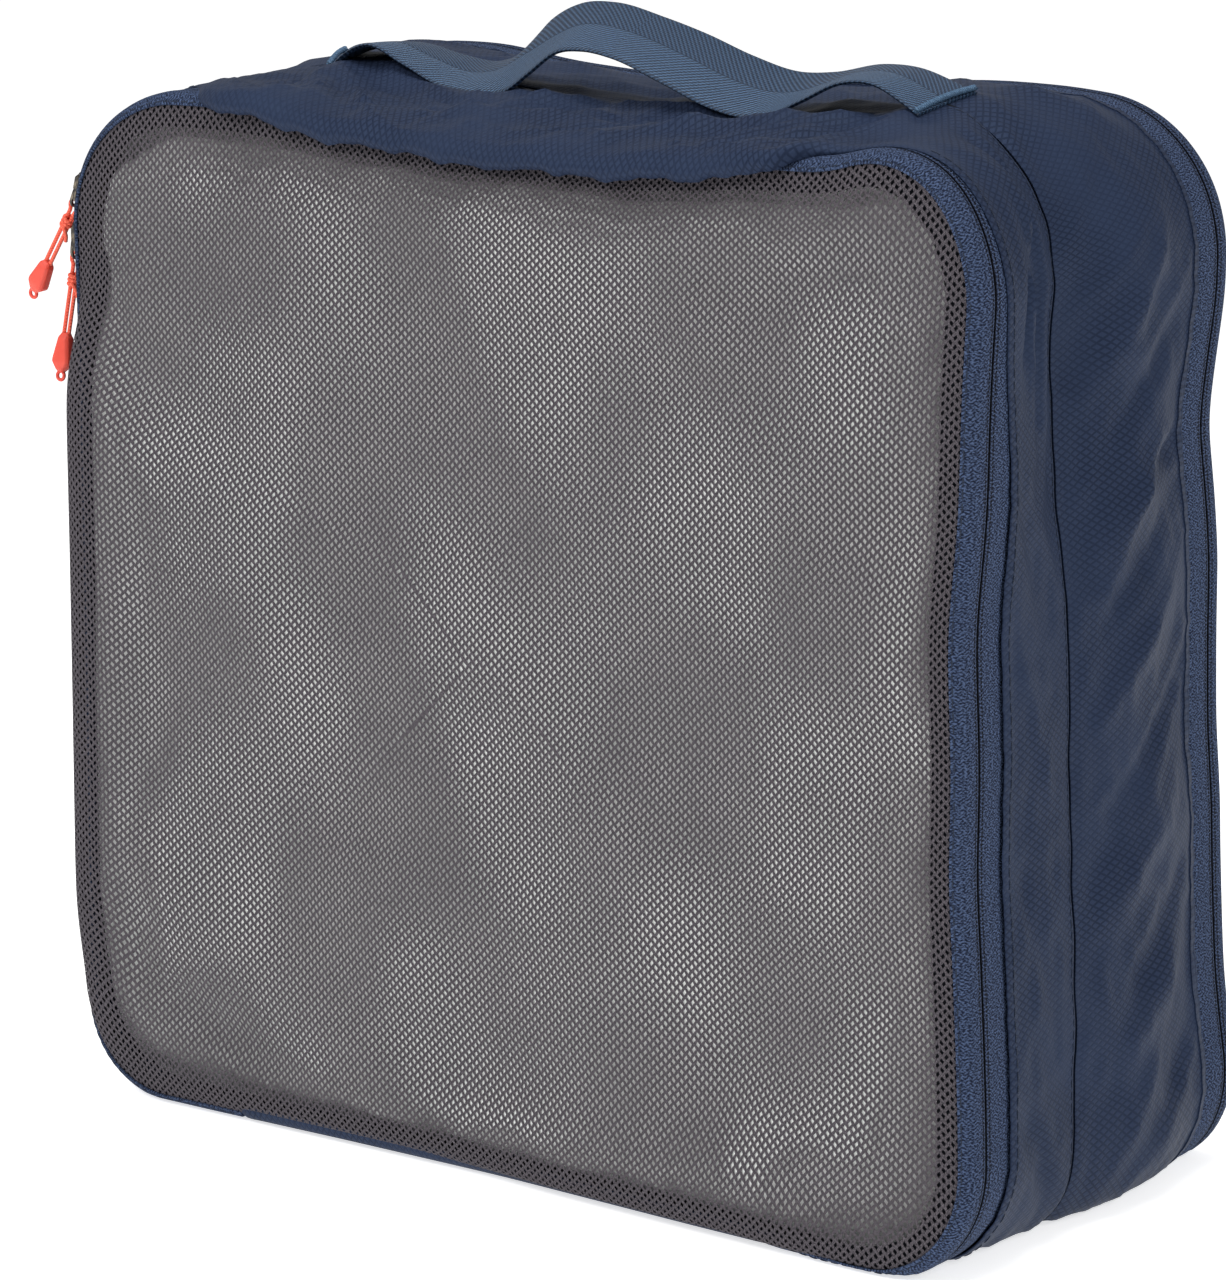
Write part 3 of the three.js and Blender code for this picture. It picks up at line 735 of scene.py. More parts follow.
class Shader:
    """A Principled material and short ways to add its nodes."""

    def __init__(self, name, roughness, specular=0.4, metallic=0.0, sheen=0.0):
        self.material = bpy.data.materials.new(name)
        self.material.use_nodes = True
        self.tree = self.material.node_tree
        self.surface = self.tree.nodes["Principled BSDF"]
        inputs = self.surface.inputs
        inputs["Roughness"].default_value = roughness
        inputs["Metallic"].default_value = metallic
        inputs["Specular IOR Level"].default_value = specular
        inputs["Sheen Weight"].default_value = sheen
        inputs["Sheen Roughness"].default_value = 0.45
        self.last_bump = None

    def node(self, kind, **settings):
        made = self.tree.nodes.new(kind)
        for key, value in settings.items():
            setattr(made, key, value)
        return made

    def link(self, value, socket):
        if isinstance(value, bpy.types.NodeSocket):
            self.tree.links.new(value, socket)
        else:
            socket.default_value = value

    def math(self, operation, a, b=0.0):
        made = self.node("ShaderNodeMath", operation=operation)
        for socket, value in zip(made.inputs, (a, b)):
            self.link(value, socket)
        return made.outputs[0]

    def plus(self, a, b):
        return self.math("ADD", a, b)

    def minus(self, a, b):
        return self.math("SUBTRACT", a, b)

    def times(self, a, b):
        return self.math("MULTIPLY", a, b)

    def least(self, a, b):
        return self.math("MINIMUM", a, b)

    def most(self, a, b):
        return self.math("MAXIMUM", a, b)

    def in_mm(self, socket):
        """Patterns drawn after this lie over the socket's coordinates, in millimetres."""
        scaled = self.node("ShaderNodeVectorMath", operation="SCALE")
        self.link(socket, scaled.inputs[0])
        scaled.inputs["Scale"].default_value = 1 / MM
        self.vector = scaled.outputs[0]

    def places(self):
        """The cloth's u, v and w in millimetres."""
        self.in_mm(self.node("ShaderNodeAttribute", attribute_name="cloth").outputs["Vector"])
        split = self.node("ShaderNodeSeparateXYZ")
        self.link(self.vector, split.inputs[0])
        return split.outputs

    def object_mm(self):
        """The piece's own coordinates in millimetres."""
        self.in_mm(self.node("ShaderNodeTexCoord").outputs["Object"])

    def noise(self, size, detail=2.0, stretch=(1, 1, 1)):
        """Noise about `size` mm across, drawn out by stretch."""
        mapping = self.node("ShaderNodeMapping")
        self.link(self.vector, mapping.inputs["Vector"])
        mapping.inputs["Scale"].default_value = [1 / (size * s) for s in stretch]
        made = self.node("ShaderNodeTexNoise")
        self.link(mapping.outputs[0], made.inputs["Vector"])
        made.inputs["Scale"].default_value = 1.0
        made.inputs["Detail"].default_value = detail
        return made.outputs["Fac"]

    def ramp(self, value, low, high):
        """Value between low and high, smoothed to 0 to 1."""
        made = self.node("ShaderNodeMapRange", interpolation_type="SMOOTHSTEP")
        self.link(value, made.inputs["Value"])
        made.inputs["From Min"].default_value = low
        made.inputs["From Max"].default_value = high
        return made.outputs[0]

    def mix(self, share, a, b):
        made = self.node("ShaderNodeMix", data_type="RGBA")
        self.link(share, made.inputs["Factor"])
        colour_a, colour_b = (made.inputs[k] for k in (6, 7))
        self.link(a if isinstance(a, bpy.types.NodeSocket) else (*a, 1), colour_a)
        self.link(b if isinstance(b, bpy.types.NodeSocket) else (*b, 1), colour_b)
        return made.outputs[2]

    def wave(self, value, period):
        """0 at every whole period of value, 1 half way between."""
        scaled = self.times(value, 1 / period)
        return self.times(self.math("PINGPONG", scaled, 0.5), 2.0)

    def bump(self, height, distance, strength=1.0):
        made = self.node("ShaderNodeBump")
        made.inputs["Strength"].default_value = strength
        made.inputs["Distance"].default_value = distance * MM
        self.link(height, made.inputs["Height"])
        if self.last_bump is not None:
            self.link(self.last_bump, made.inputs["Normal"])
        self.last_bump = made.outputs[0]
        self.link(made.outputs[0], self.surface.inputs["Normal"])

    def colour(self, value):
        self.link(value, self.surface.inputs["Base Color"])

    def roughness(self, value, low, high):
        made = self.node("ShaderNodeMapRange")
        self.link(value, made.inputs["Value"])
        made.inputs["To Min"].default_value = low
        made.inputs["To Max"].default_value = high
        self.link(made.outputs[0], self.surface.inputs["Roughness"])


def ripstop_material(name="ripstop", thread=(0.0085, 0.0125, 0.028), cell_with_sheen=(0.0255, 0.0375, 0.074)):
    """Coated ripstop: small pillowed diamonds painted lighter as sheen, between grid threads painted darker
    as shade in their grooves, a fine weave and faint crinkles.
    """
    shader = Shader(name, roughness=0.5, specular=0.09)
    shader.surface.inputs["Specular Tint"].default_value = (0.5, 0.7, 1.0, 1)
    u, v, _ = shader.places()
    a = shader.plus(shader.times(u, 1 / 2.5), shader.times(v, 1 / 4.0))
    b = shader.minus(shader.times(u, 1 / 2.5), shader.times(v, 1 / 4.0))
    pillow = shader.least(shader.wave(a, 1.0), shader.wave(b, 1.0))
    face = shader.ramp(pillow, 0.1, 0.5)
    patches = shader.noise(26, 3)
    grain = shader.noise(0.7, 2)
    clear = shader.ramp(shader.noise(48, 2), 0.34, 0.62)
    even = shader.minus(0.72, shader.times(clear, 0.42))
    face_shown = shader.plus(shader.times(face, shader.minus(1.0, even)), even)
    shown = shader.times(face_shown, shader.plus(shader.times(patches, 0.5), 0.72))
    # Painted sheen and shade: the pillowed cells are lighter and the grooves along the grid threads darker,
    # more strongly in some broad patches than in others.
    tone = shader.mix(shown, thread, cell_with_sheen)
    shader.colour(shader.mix(shader.times(grain, 0.25), tone, thread))
    shader.roughness(patches, 0.42, 0.6)
    shader.bump(face, 0.16, 0.55)
    shader.bump(grain, 0.05, 0.5)
    shader.bump(shader.noise(7, 3), 0.5, 0.32)
    shader.bump(shader.noise(22, 4, (1, 2.2, 1)), 2.4, 0.42)
    return shader.material


def mesh_material():
    """Warp-knitted mesh: warm grey yarn with fine loops along it."""
    shader = Shader("mesh_yarn", roughness=0.75, specular=0.2)
    u, v, _ = shader.places()
    fibre = shader.noise(0.32, 2, (1, 2.2, 1))
    patches = shader.noise(30, 2)
    across = shader.math("COSINE", shader.times(u, TAU / NET_PITCH))
    along = shader.math("COSINE", shader.times(v, math.pi / NET_ROW))
    knots = shader.times(across, along)
    loops = shader.wave(shader.plus(v, shader.times(u, 0.5)), 0.47)
    tone = shader.mix(shader.ramp(fibre, 0.3, 0.7), (0.020, 0.017, 0.023), (0.142, 0.125, 0.143))
    tone = shader.mix(shader.times(patches, 0.25), tone, (0.08, 0.073, 0.079))
    shader.colour(shader.mix(shader.ramp(loops, 0.45, 0.0), tone, (0.022, 0.020, 0.023)))
    shader.bump(fibre, 0.12, 0.7)
    shader.bump(loops, 0.10, 0.6)
    shader.bump(shader.ramp(knots, 0.5, -0.7), 0.30, 0.8)
    return shader.material


def tape_material():
    """Zip tape: a fine navy knit of small chevrons; w runs in mm from the slit, and painted shade darkens the
    coil's stitch holes and the tape's edge at the slit.
    """
    shader = Shader("zip_tape_knit", roughness=0.8, specular=0.12)
    u, w, _ = shader.places()
    slant = shader.plus(u, shader.times(shader.wave(w, 2.6), 1.0))
    rib = shader.wave(slant, 1.15)
    speckle = shader.noise(0.52, 2, (1, 2.1, 1))
    patches = shader.noise(14, 2)
    light = shader.ramp(shader.plus(shader.times(rib, 0.16), speckle), 0.44, 0.74)
    tone = shader.mix(light, (0.005, 0.008, 0.022), (0.074, 0.110, 0.205))
    tone = shader.mix(shader.times(patches, 0.2), tone, (0.022, 0.032, 0.068))
    dot_u = shader.minus(shader.wave(u, 1.3), 1.0)
    dot_u = shader.times(dot_u, 0.65)
    dot_w = shader.minus(w, 1.9)
    far = shader.math("SQRT", shader.plus(shader.math("POWER", dot_u, 2.0), shader.math("POWER", dot_w, 2.0)))
    # Painted shade: the stitch holes and the tape within about 0.85 mm of the slit are near-black, for the
    # shade in them.
    hole = shader.most(shader.ramp(far, 0.62, 0.3), shader.ramp(w, 0.85, 0.45))
    shader.colour(shader.mix(hole, tone, (0.003, 0.004, 0.008)))
    shader.bump(light, 0.3, 0.9)
    shader.bump(shader.minus(1.0, hole), 0.3, 0.8)
    return shader.material


def webbing_material():
    """Herringbone webbing: two half bands of twill that slant opposite ways from a middle line; the rear half
    band is painted darker, as shade where its twill reflects less light.
    """
    shader = Shader("webbing_twill", roughness=0.45, specular=0.3)
    u, v, _ = shader.places()
    slant = shader.plus(u, shader.times(shader.math("ABSOLUTE", v), 1.05))
    rib = shader.wave(slant, 1.9)
    picks = shader.wave(v, 0.95)
    weave = shader.plus(shader.times(rib, 0.5), shader.times(picks, 0.25))
    speckle = shader.times(shader.noise(0.8, 2), 0.35)
    light = shader.ramp(shader.plus(weave, speckle), 0.3, 0.85)
    tone = shader.mix(light, (0.004, 0.009, 0.024), (0.078, 0.148, 0.26))
    # Painted shade: the rear half band (v above 0) is darker, for the light that its twill reflects less.
    half = shader.ramp(v, -0.4, 0.4)
    tone = shader.mix(shader.times(half, 0.45), tone, (0.012, 0.025, 0.055))
    middle = shader.ramp(shader.math("ABSOLUTE", v), 0.55, 0.2)
    edge = shader.ramp(shader.math("ABSOLUTE", v), 13.9, 14.5)
    line = shader.most(middle, edge)
    shader.colour(shader.mix(shader.times(line, 0.55), tone, (0.010, 0.020, 0.042)))
    shader.bump(light, 0.4, 0.9)
    return shader.material


def thread_material(name, low, high):
    """Twisted sewing thread; u runs along it."""
    shader = Shader(name, roughness=0.6, specular=0.2)
    u, v, _ = shader.places()
    twist = shader.wave(shader.plus(u, shader.times(v, 0.35)), 0.55)
    shader.colour(shader.mix(twist, low, high))
    shader.bump(twist, 0.08, 0.8)
    return shader.material


def cord_material():
    """Braided coral cord: two sets of strands crossing round it."""
    shader = Shader("braided_cord", roughness=0.62, specular=0.25)
    u, v, _ = shader.places()
    turn = shader.times(v, 1.15 / math.pi)
    one = shader.wave(shader.plus(shader.times(u, 1 / 1.15), turn), 1.0)
    two = shader.wave(shader.minus(shader.times(u, 1 / 1.15), turn), 1.0)
    braid = shader.least(one, two)
    patches = shader.noise(1.6, 2)
    tone = shader.mix(shader.ramp(braid, 0.02, 0.5), (0.58, 0.055, 0.028), (0.95, 0.145, 0.085))
    shader.colour(shader.mix(shader.times(patches, 0.35), tone, (0.98, 0.23, 0.15)))
    shader.bump(braid, 0.12, 0.9)
    return shader.material


def moulded_material():
    """Moulded coral rubber with a fine matt grain and a faintly patchy tone."""
    shader = Shader("moulded_end", roughness=0.5, specular=0.45)
    shader.object_mm()
    grain = shader.noise(0.35, 2)
    patches = shader.noise(5, 2)
    inputs = shader.surface.inputs
    inputs["Subsurface Weight"].default_value = 0.12
    inputs["Subsurface Radius"].default_value = (0.9 * MM, 0.3 * MM, 0.2 * MM)
    inputs["Subsurface Scale"].default_value = 1.0
    shader.colour(shader.mix(patches, (0.66, 0.052, 0.030), (0.80, 0.095, 0.058)))
    shader.roughness(grain, 0.42, 0.62)
    shader.bump(grain, 0.03, 0.6)
    return shader.material


def metal_material():
    """Dark gunmetal plating, rubbed to a warmer, brighter grey in places."""
    shader = Shader("gunmetal", roughness=0.32, metallic=1.0)
    shader.object_mm()
    rubbed = shader.noise(3.5, 4)
    grain = shader.noise(0.25, 2)
    shader.colour(shader.mix(shader.ramp(rubbed, 0.42, 0.72), (0.062, 0.058, 0.055), (0.32, 0.27, 0.20)))
    shader.roughness(shader.noise(1.8, 3), 0.22, 0.46)
    shader.bump(grain, 0.012, 0.5)
    return shader.material


def coil_material():
    """Black nylon zip coil."""
    shader = Shader("nylon_coil", roughness=0.38, specular=0.5)
    u, _, _ = shader.places()
    turn = shader.wave(u, 1.3)
    shader.colour(shader.mix(turn, (0.006, 0.007, 0.010), (0.030, 0.034, 0.044)))
    shader.bump(shader.noise(0.5, 2), 0.03, 0.5)
    return shader.material


def binding_material():
    """Dark woven seam tape with a fine cross rib; where it shows in the seam's slit, its near-black is
    painted shade for the slit.
    """
    shader = Shader("seam_tape_and_slit_shade", roughness=0.8, specular=0.12)
    u, _, _ = shader.places()
    rib = shader.wave(u, 0.9)
    speckle = shader.noise(0.4, 2)
    shader.colour(shader.mix(shader.times(rib, speckle), (0.003, 0.0035, 0.006), (0.014, 0.016, 0.024)))
    shader.bump(rib, 0.12, 0.7)
    return shader.material


def filling_material():
    """Soft white packing cloth with creases, and soft grey patches of painted shade that stand in for its
    folds.
    """
    shader = Shader("white_filling", roughness=0.85, specular=0.2, sheen=0.3)
    shader.object_mm()
    # Painted shade: broad grey patches stand in for the shade of the cloth's folds.
    patches = shader.noise(45, 2)
    shader.colour(shader.mix(shader.ramp(patches, 0.3, 0.7), (0.72, 0.74, 0.72), (0.88, 0.89, 0.87)))
    shader.bump(shader.noise(6, 3), 0.8, 0.4)
    shader.bump(shader.noise(34, 2), 14, 0.8)
    return shader.material


def floor_material():
    """A plain pale studio surface."""
    shader = Shader("pale_floor", roughness=0.9, specular=0.1)
    shader.surface.inputs["Emission Color"].default_value = (1, 1, 1, 1)
    shader.surface.inputs["Emission Strength"].default_value = 0.66
    shader.object_mm()
    shader.colour(shader.mix(shader.noise(400, 2), (0.93, 0.93, 0.93), (0.96, 0.96, 0.96)))
    return shader.material


RIPSTOP = ripstop_material()
LINING = ripstop_material("ripstop_inside", (0.016, 0.021, 0.034), (0.034, 0.044, 0.066))
MESH = mesh_material()
TAPE = tape_material()
WEBBING = webbing_material()
NAVY_THREAD = thread_material("navy_thread", (0.004, 0.006, 0.012), (0.030, 0.043, 0.075))
BLUE_THREAD = thread_material("blue_thread", (0.022, 0.050, 0.095), (0.11, 0.20, 0.32))
CORD = cord_material()
MOULDED = moulded_material()
METAL = metal_material()
COIL = coil_material()
BINDING = binding_material()
FILLING = filling_material()

# ---- Gussets, seam binding and divider ----

CLOTH = 0.6  # thickness of ripstop and of zip tape
STEP = 2.5
ROUND = np.linspace(0, LOOP, round(LOOP / STEP), endpoint=False)
ZIP_RUN = np.linspace(ZIP_END_X, LOOP - ZIP_END_X, round((LOOP - 2 * ZIP_END_X) / STEP))
HINGE_END = ZIP_END_X + 3  # the hinge's cloth tucks in under the tapes' ends
HINGE_RUN = np.linspace(-HINGE_END, HINGE_END, round(2 * HINGE_END / STEP))
HEM_ROWS = np.array([  # depth and lift of the rear gusset's folded hem, which lies on the zip tape
    (53, 0), (54.5, 0.15), (55.8, 0.55), (56.6, 0.72), (57.2, 0.62), (57.3, 0.3), (56.6, 0.05), (54, -0.1),
])


def front_gusset():
    t = np.concatenate([[0, 0.006, 0.015, 0.03], np.linspace(0.05, 0.86, 26), np.linspace(0.875, 1, 11)])
    points = front_gusset_points(ROUND, t)
    run = np.cumsum(np.linalg.norm(np.diff(points, axis=1), axis=-1), axis=1)
    run = np.concatenate([np.zeros((len(ROUND), 1)), run], axis=1)
    kernel = np.hanning(25) / np.hanning(25).sum()
    wide = np.concatenate([run[-12:], run, run[:12]])
    run = np.stack([np.convolve(column, kernel, "valid") for column in wide.T], axis=1)
    made = strip("gusset_front_cloth", ROUND, t, points, CLOTH, closed=True, across=SEAM_Y - run)
    return dress(made, "cube_body", RIPSTOP, ["front_gusset"])


def rear_gusset():
    near = SEAM_Y + SEAM_SLIT + np.array([0, 0.25, 0.7, 1.4, 2.4])
    v = np.concatenate([near, np.linspace(SEAM_Y + 4.2, 51, 28), HEM_ROWS[:, 0]])
    lift = np.concatenate([np.zeros(len(v) - len(HEM_ROWS)), HEM_ROWS[:, 1]])
    points = skin(ROUND[:, None], v[None, :], lift[None, :])
    across = np.concatenate([v[: -len(HEM_ROWS)], 53 + 1.1 * np.arange(len(HEM_ROWS))])
    made = strip("gusset_rear_cloth", ROUND, v, points, CLOTH, flip=True, closed=True, across=across)
    return dress(made, "cube_body", RIPSTOP, ["rear_gusset"])


def seam_binding():
    v = SEAM_Y + np.array([-4.5, -3, -1.7, -1.0, -0.5, 0, 0.5, 1.0, 1.7, 3, 4.5])
    # The tape rises towards the slit so that its near-black shows there as painted shade.
    lift = -1.3 + 1.0 * np.exp(-(((v - SEAM_Y) / 0.8) ** 2))
    points = skin(ROUND[:, None], v[None, :], lift[None, :])
    made = strip("seam_binding_tape", ROUND, v, points, CLOTH, flip=True, closed=True)
    return dress(made, "cube_body", BINDING, ["centre_seam_binding"])


def rows_and_columns(inset, rows=70, columns=72):
    """A grid of front-view places that fills the outline, inset from it; rows run along x."""
    half = HALF_WIDTH - inset
    low, high = inset, HEIGHT - inset
    share = 0.5 - 0.5 * np.cos(np.linspace(0, math.pi, rows))
    z = low + (high - low) * (0.55 * share + 0.45 * np.linspace(0, 1, rows))
    radius = np.where(z < HEIGHT / 2, BOTTOM_RADIUS, TOP_RADIUS) - inset
    into = np.clip(np.minimum(z - low, high - z), 0, radius)
    width = half - radius + np.sqrt(radius**2 - (radius - into) ** 2)
    s = np.sin(np.linspace(-1, 1, columns) * 1.1) / math.sin(1.1)
    return s[:, None] * width[None, :], np.broadcast_to(z, (columns, rows))


def divider():
    x, z = rows_and_columns(3.4)
    inside, u = border(x, z)
    _, _, nx, nz = outline(u)
    out = SEAM_OUT(u) * np.exp(-inside / 22)
    depth = SEAM_Y + smooth_step(inside, 4, 40) * (2.4 * field(x, z, 95, 51) + 0.9 * field(x, z, 38, 52))
    points = np.stack([x + nx * out, depth, np.maximum(z + nz * out, 2.6)], -1)
    cloth = np.stack([x, z, 0 * x], -1)
    made = new_object("divider_cloth", points, grid_faces(*x.shape), cloth)
    return dress(thicken(made, CLOTH), "cube_body", LINING, ["centre_divider"])


# ---- One zip: its tapes, coils and end stops; side is -1 in front ----

INNER_TAPE = np.array([  # distance from the middle plane, and lift; the tape slips under the gusset's hem
    (55.5, -0.8), (57.2, -0.75), (58.4, -0.45), (59.6, -0.1), (61.5, 0), (64, 0.1), (66.5, 0.1),
    (68.6, 0.05), (69.8, 0), (70.65, -0.2),
])
OUTER_TAPE = np.array([
    (71.35, -0.2), (72.2, 0), (73.6, 0.1), (75, 0), (76.4, 0), (77.8, 0), (79.2, 0), (80.6, 0), (81.8, 0),
    (82.9, 0),
])
TEETH = 1.3  # pitch of the coil's turns
COIL_SIDES = 6
COIL_OFFSET = 0.95  # from the slit to the middle of each coil


def zip_tape(label, side, part, rows, body):
    v = side * rows[:, 0]
    points = skin(ZIP_RUN[:, None], v[None, :], rows[None, :, 1])
    across = np.abs(rows[:, 0] - ZIP_Y)
    name = f"{label}_{part}_tape_knit"
    made = strip(name, ZIP_RUN, v, points, CLOTH, flip=side > 0, across=across)
    return dress(made, body, TAPE, [f"{label}_zip_{part}_tape"])


def zip_coil(label, side, part, body):
    """The nylon coil behind one tape: a row of turns along the slit."""
    centre = ZIP_Y + (-COIL_OFFSET if part == "inner" else COIL_OFFSET)
    u = np.arange(ZIP_RUN[0], ZIP_RUN[-1], TEETH / 3)
    turn = np.linspace(0, TAU, COIL_SIDES, endpoint=False)
    swell = 1 + 0.3 * np.cos(TAU * u / TEETH)[:, None]
    v = side * (centre + 0.75 * swell * np.cos(turn)[None, :])
    lift = -1.5 + 0.55 * swell * np.sin(turn)[None, :]
    points = skin(u[:, None], v, lift)
    faces = ring_faces(len(u), COIL_SIDES)
    cloth = np.stack(np.broadcast_arrays(u[:, None], turn[None, :], 0.0), -1)
    made = new_object(f"{label}_{part}_coil_turns", points, faces if side > 0 else faces[:, ::-1], cloth)
    return dress(made, body, COIL, [f"{label}_zip_{part}_coil"])


def bevelled_copy(node, name, width):
    """A copy of a CAD piece with its edges rounded."""
    made = linked(name, bpy.data.objects[node].data.copy())
    round_edges(made, width, 3, 35)
    made.data.shade_smooth()
    made.data.set_sharp_from_angle(angle=math.radians(40))
    return made


def zip_stops(label):
    for hand in ("left", "right"):
        node = f"{label}_zip_stop_{hand}"
        dress(bevelled_copy(node, f"{label}_stop_{hand}_metal", 0.5), "cube_body", METAL, [node])


HINGE_TAPERS_FROM = 79  # beyond this depth the strip narrows towards its ends
TUCK = -0.7  # how deep the strip's ends lie under the tapes' ends


def hinge_strip(label, side):
    """The base's cloth between the zip's ends, where the cover folds down."""
    depths = np.concatenate([np.linspace(56, 74, 8), np.linspace(75.4, 85.9, 9)])
    v = side * depths
    ease = smooth_step(HINGE_END - np.abs(HINGE_RUN), 0, 12)[:, None]
    drawn_in = (1 - ease) * 0.3 * np.clip(depths - HINGE_TAPERS_FROM, 0, None)
    tucked = TUCK * (1 - smooth_step(HINGE_END - np.abs(HINGE_RUN), 2, 6))[:, None]
    points = skin(HINGE_RUN[:, None], v[None, :] - side * drawn_in, tucked)
    made = strip(f"{label}_hinge_cloth", HINGE_RUN, v, points, CLOTH, flip=side > 0)
    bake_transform(made)
    return dress(made, None, RIPSTOP, [f"{label}_hinge_strip"])


# ---- Covers ----

NET_HALF_WIDTH = 0.66  # each hole is a slanted diamond of this half width and half height
NET_HALF_HEIGHT = 0.95
NET_SLANT = 0.22
HOLES_CLOSE = 0.85  # the share by which the holes shrink beside the left edge's seam


def net_panel():
    """The knitted mesh: staggered slanted holes in one sheet of yarn."""
    columns = round(2 * HALF_WIDTH / NET_PITCH) + 3
    rows = round(HEIGHT / NET_ROW) + 4
    i, j = np.meshgrid(np.arange(columns), np.arange(rows), indexing="ij")
    x = (i - columns / 2 + 0.5 * (j % 2)) * NET_PITCH
    z = j * NET_ROW
    inside, u = border(x, z)
    kept = inside >= NET_EDGE
    # The knit closes up where it turns round the left edge to its seam
    closing = 0.7 * (1 - smooth_step(inside, 6, 9)) + 0.3 * (1 - smooth_step(inside, 7, 26))
    size = 1 - HOLES_CLOSE * WRAP(u) * closing
    slant = NET_SLANT * np.where(j % 2 == 0, 1, -1) * size
    wide, high = NET_HALF_WIDTH * size, NET_HALF_HEIGHT * size
    corners_x = np.stack([x + slant, x + wide, x - slant, x - wide], -1)
    corners_z = np.stack([z + high, z, z - high, z], -1)
    upper, right_side, lower, left_side = range(4)

    def corner(di, dj, which):
        return ((i + di) * rows + (j + dj)) * 4 + which

    odd = j % 2
    summit = corner(0, 0, upper)
    faces = [
        [corner(0, 0, right_side), corner(odd, 1, lower), corner(odd, 1, left_side), summit],
        [summit, corner(odd - 1, 1, right_side), corner(odd - 1, 1, lower), corner(0, 0, left_side)],
        [summit, corner(odd, 1, left_side), corner(0, 2, lower), corner(odd - 1, 1, right_side)],
    ]
    faces = np.concatenate([np.stack(face, -1).reshape(-1, 4) for face in faces])
    whole = (faces >= 0).all(1) & (faces < kept.size * 4).all(1)
    faces = faces[whole]
    faces = faces[kept.ravel()[faces // 4].all(1)]
    used, faces = np.unique(faces, return_inverse=True)
    flat_x, flat_z = corners_x.ravel()[used], corners_z.ravel()[used]
    points = cover_points(flat_x, flat_z, -1)
    cloth = np.stack([flat_x, flat_z, 0 * flat_x], -1)
    made = new_object("mesh_panel_net", points, faces.reshape(-1, 4), cloth)
    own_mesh(made)
    return dress(made, "front_cover", MESH, ["mesh_panel"])


def rear_panel():
    x, z = rows_and_columns(3.2, 90, 92)
    cloth = np.stack([x, z, 0 * x], -1)
    made = new_object("rear_panel_cloth", cover_points(x, z, 1), grid_faces(*x.shape, flip=True), cloth)
    thicken(made, CLOTH)
    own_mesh(made)
    return dress(made, "rear_cover", RIPSTOP, ["rear_panel"])


BINDING_BACK = 0.9  # the binding lies this far inside the cover's face


def cover_binding(label, side):
    inside = np.linspace(3.4, 11.4, 8)
    x, z, nx, nz = outline(ROUND)
    x = x[:, None] - nx[:, None] * inside[None, :]
    z = z[:, None] - nz[:, None] * inside[None, :]
    points = cover_points(x, z, side, BINDING_BACK)
    made = strip(f"{label}_binding_tape", ROUND, inside, points, CLOTH, flip=side > 0, closed=True)
    return dress(made, f"{label}_cover", BINDING, [f"{label}_cover_binding"])


# How wide the loose, dark border is between the filling and the mesh
LOOSE_BAND = profile(
    blur=14,
    base={0: 20, -60: 24, -110: 34, 110: 36, 50: 24}, low_right={45: 44},
    right={300: 30, 240: 20, 180: 17, 110: 24, 50: 26}, top_right={45: 50},
    top={-100: 30, -20: 22, 40: 30, 100: 36}, top_left={45: 28}, left={60: 52, 200: 62, 250: 44, 290: 16},
    low_left={45: 38},
)
FILLING_GAP = 0.4  # behind the mesh, where the bundle presses on it
BORDER_FALL = 13  # how far the bundle falls away behind the mesh's border
BULGE_FALL = 7  # it falls this much less behind the bulge on the left edge, and keeps clear of the tape there
BULGE_INSET = 5.5
FILLING_BACK = 27  # the bundle's flat rear face lies this far in front of the middle plane


def filling():
    """What the cube is packed with: a soft white bundle that presses on the mesh, less so at its border."""
    x, z = rows_and_columns(EDGE_RADIUS - 0.8, 110, 112)
    inside, u = border(x, z)
    band = np.maximum(LOOSE_BAND(u) + 5.5 * field(x, z, 46, 61) + 3 * field(x, z, 17, 64), EDGE_RADIUS + 5)
    away = 1 - smooth_step(inside, EDGE_RADIUS, band)
    hollow = 0.5 * smooth_step(field(0.9 * x + 0.5 * z, 0.25 * z - 0.45 * x, 60, 62), -0.6, 1.1)
    falls = BORDER_FALL - BULGE_FALL * WRAP(u)
    front = cover_points(x, z, -1, back=FILLING_GAP + falls * away**1.7 + hollow)
    _, _, nx, nz = outline(u)
    inset = BULGE_INSET * WRAP(u) * (1 - smooth_step(inside, 10, 34))
    front[..., 0] -= nx * inset
    front[..., 2] -= nz * inset
    rear = front.copy()
    rear[..., 0] *= 0.97
    rear[..., 1] = -FILLING_BACK - 6 * (1 - smooth_step(inside, 8, 40)) + 1.6 * field(x, z, 60, 63)
    rear[..., 2] = 8 + (rear[..., 2] - 8) * 0.98
    front[..., 2] = np.maximum(front[..., 2], 4)
    columns, rows = x.shape
    count = columns * rows
    index = np.arange(count).reshape(columns, rows)
    edge = np.concatenate([index[:, 0], index[-1, 1:], index[-2::-1, -1], index[0, -2:0:-1]])
    after = np.roll(edge, -1)
    sides = np.stack([edge, edge + count, after + count, after], -1)
    faces = np.concatenate([grid_faces(columns, rows), grid_faces(columns, rows, flip=True) + count, sides])
    points = np.concatenate([front.reshape(-1, 3), rear.reshape(-1, 3)])
    made = new_object("packed_filling", points, faces)
    made.data.set_sharp_from_angle(angle=math.radians(70))
    return dress(made, "cube_body", FILLING)


# ---- Stitches ----


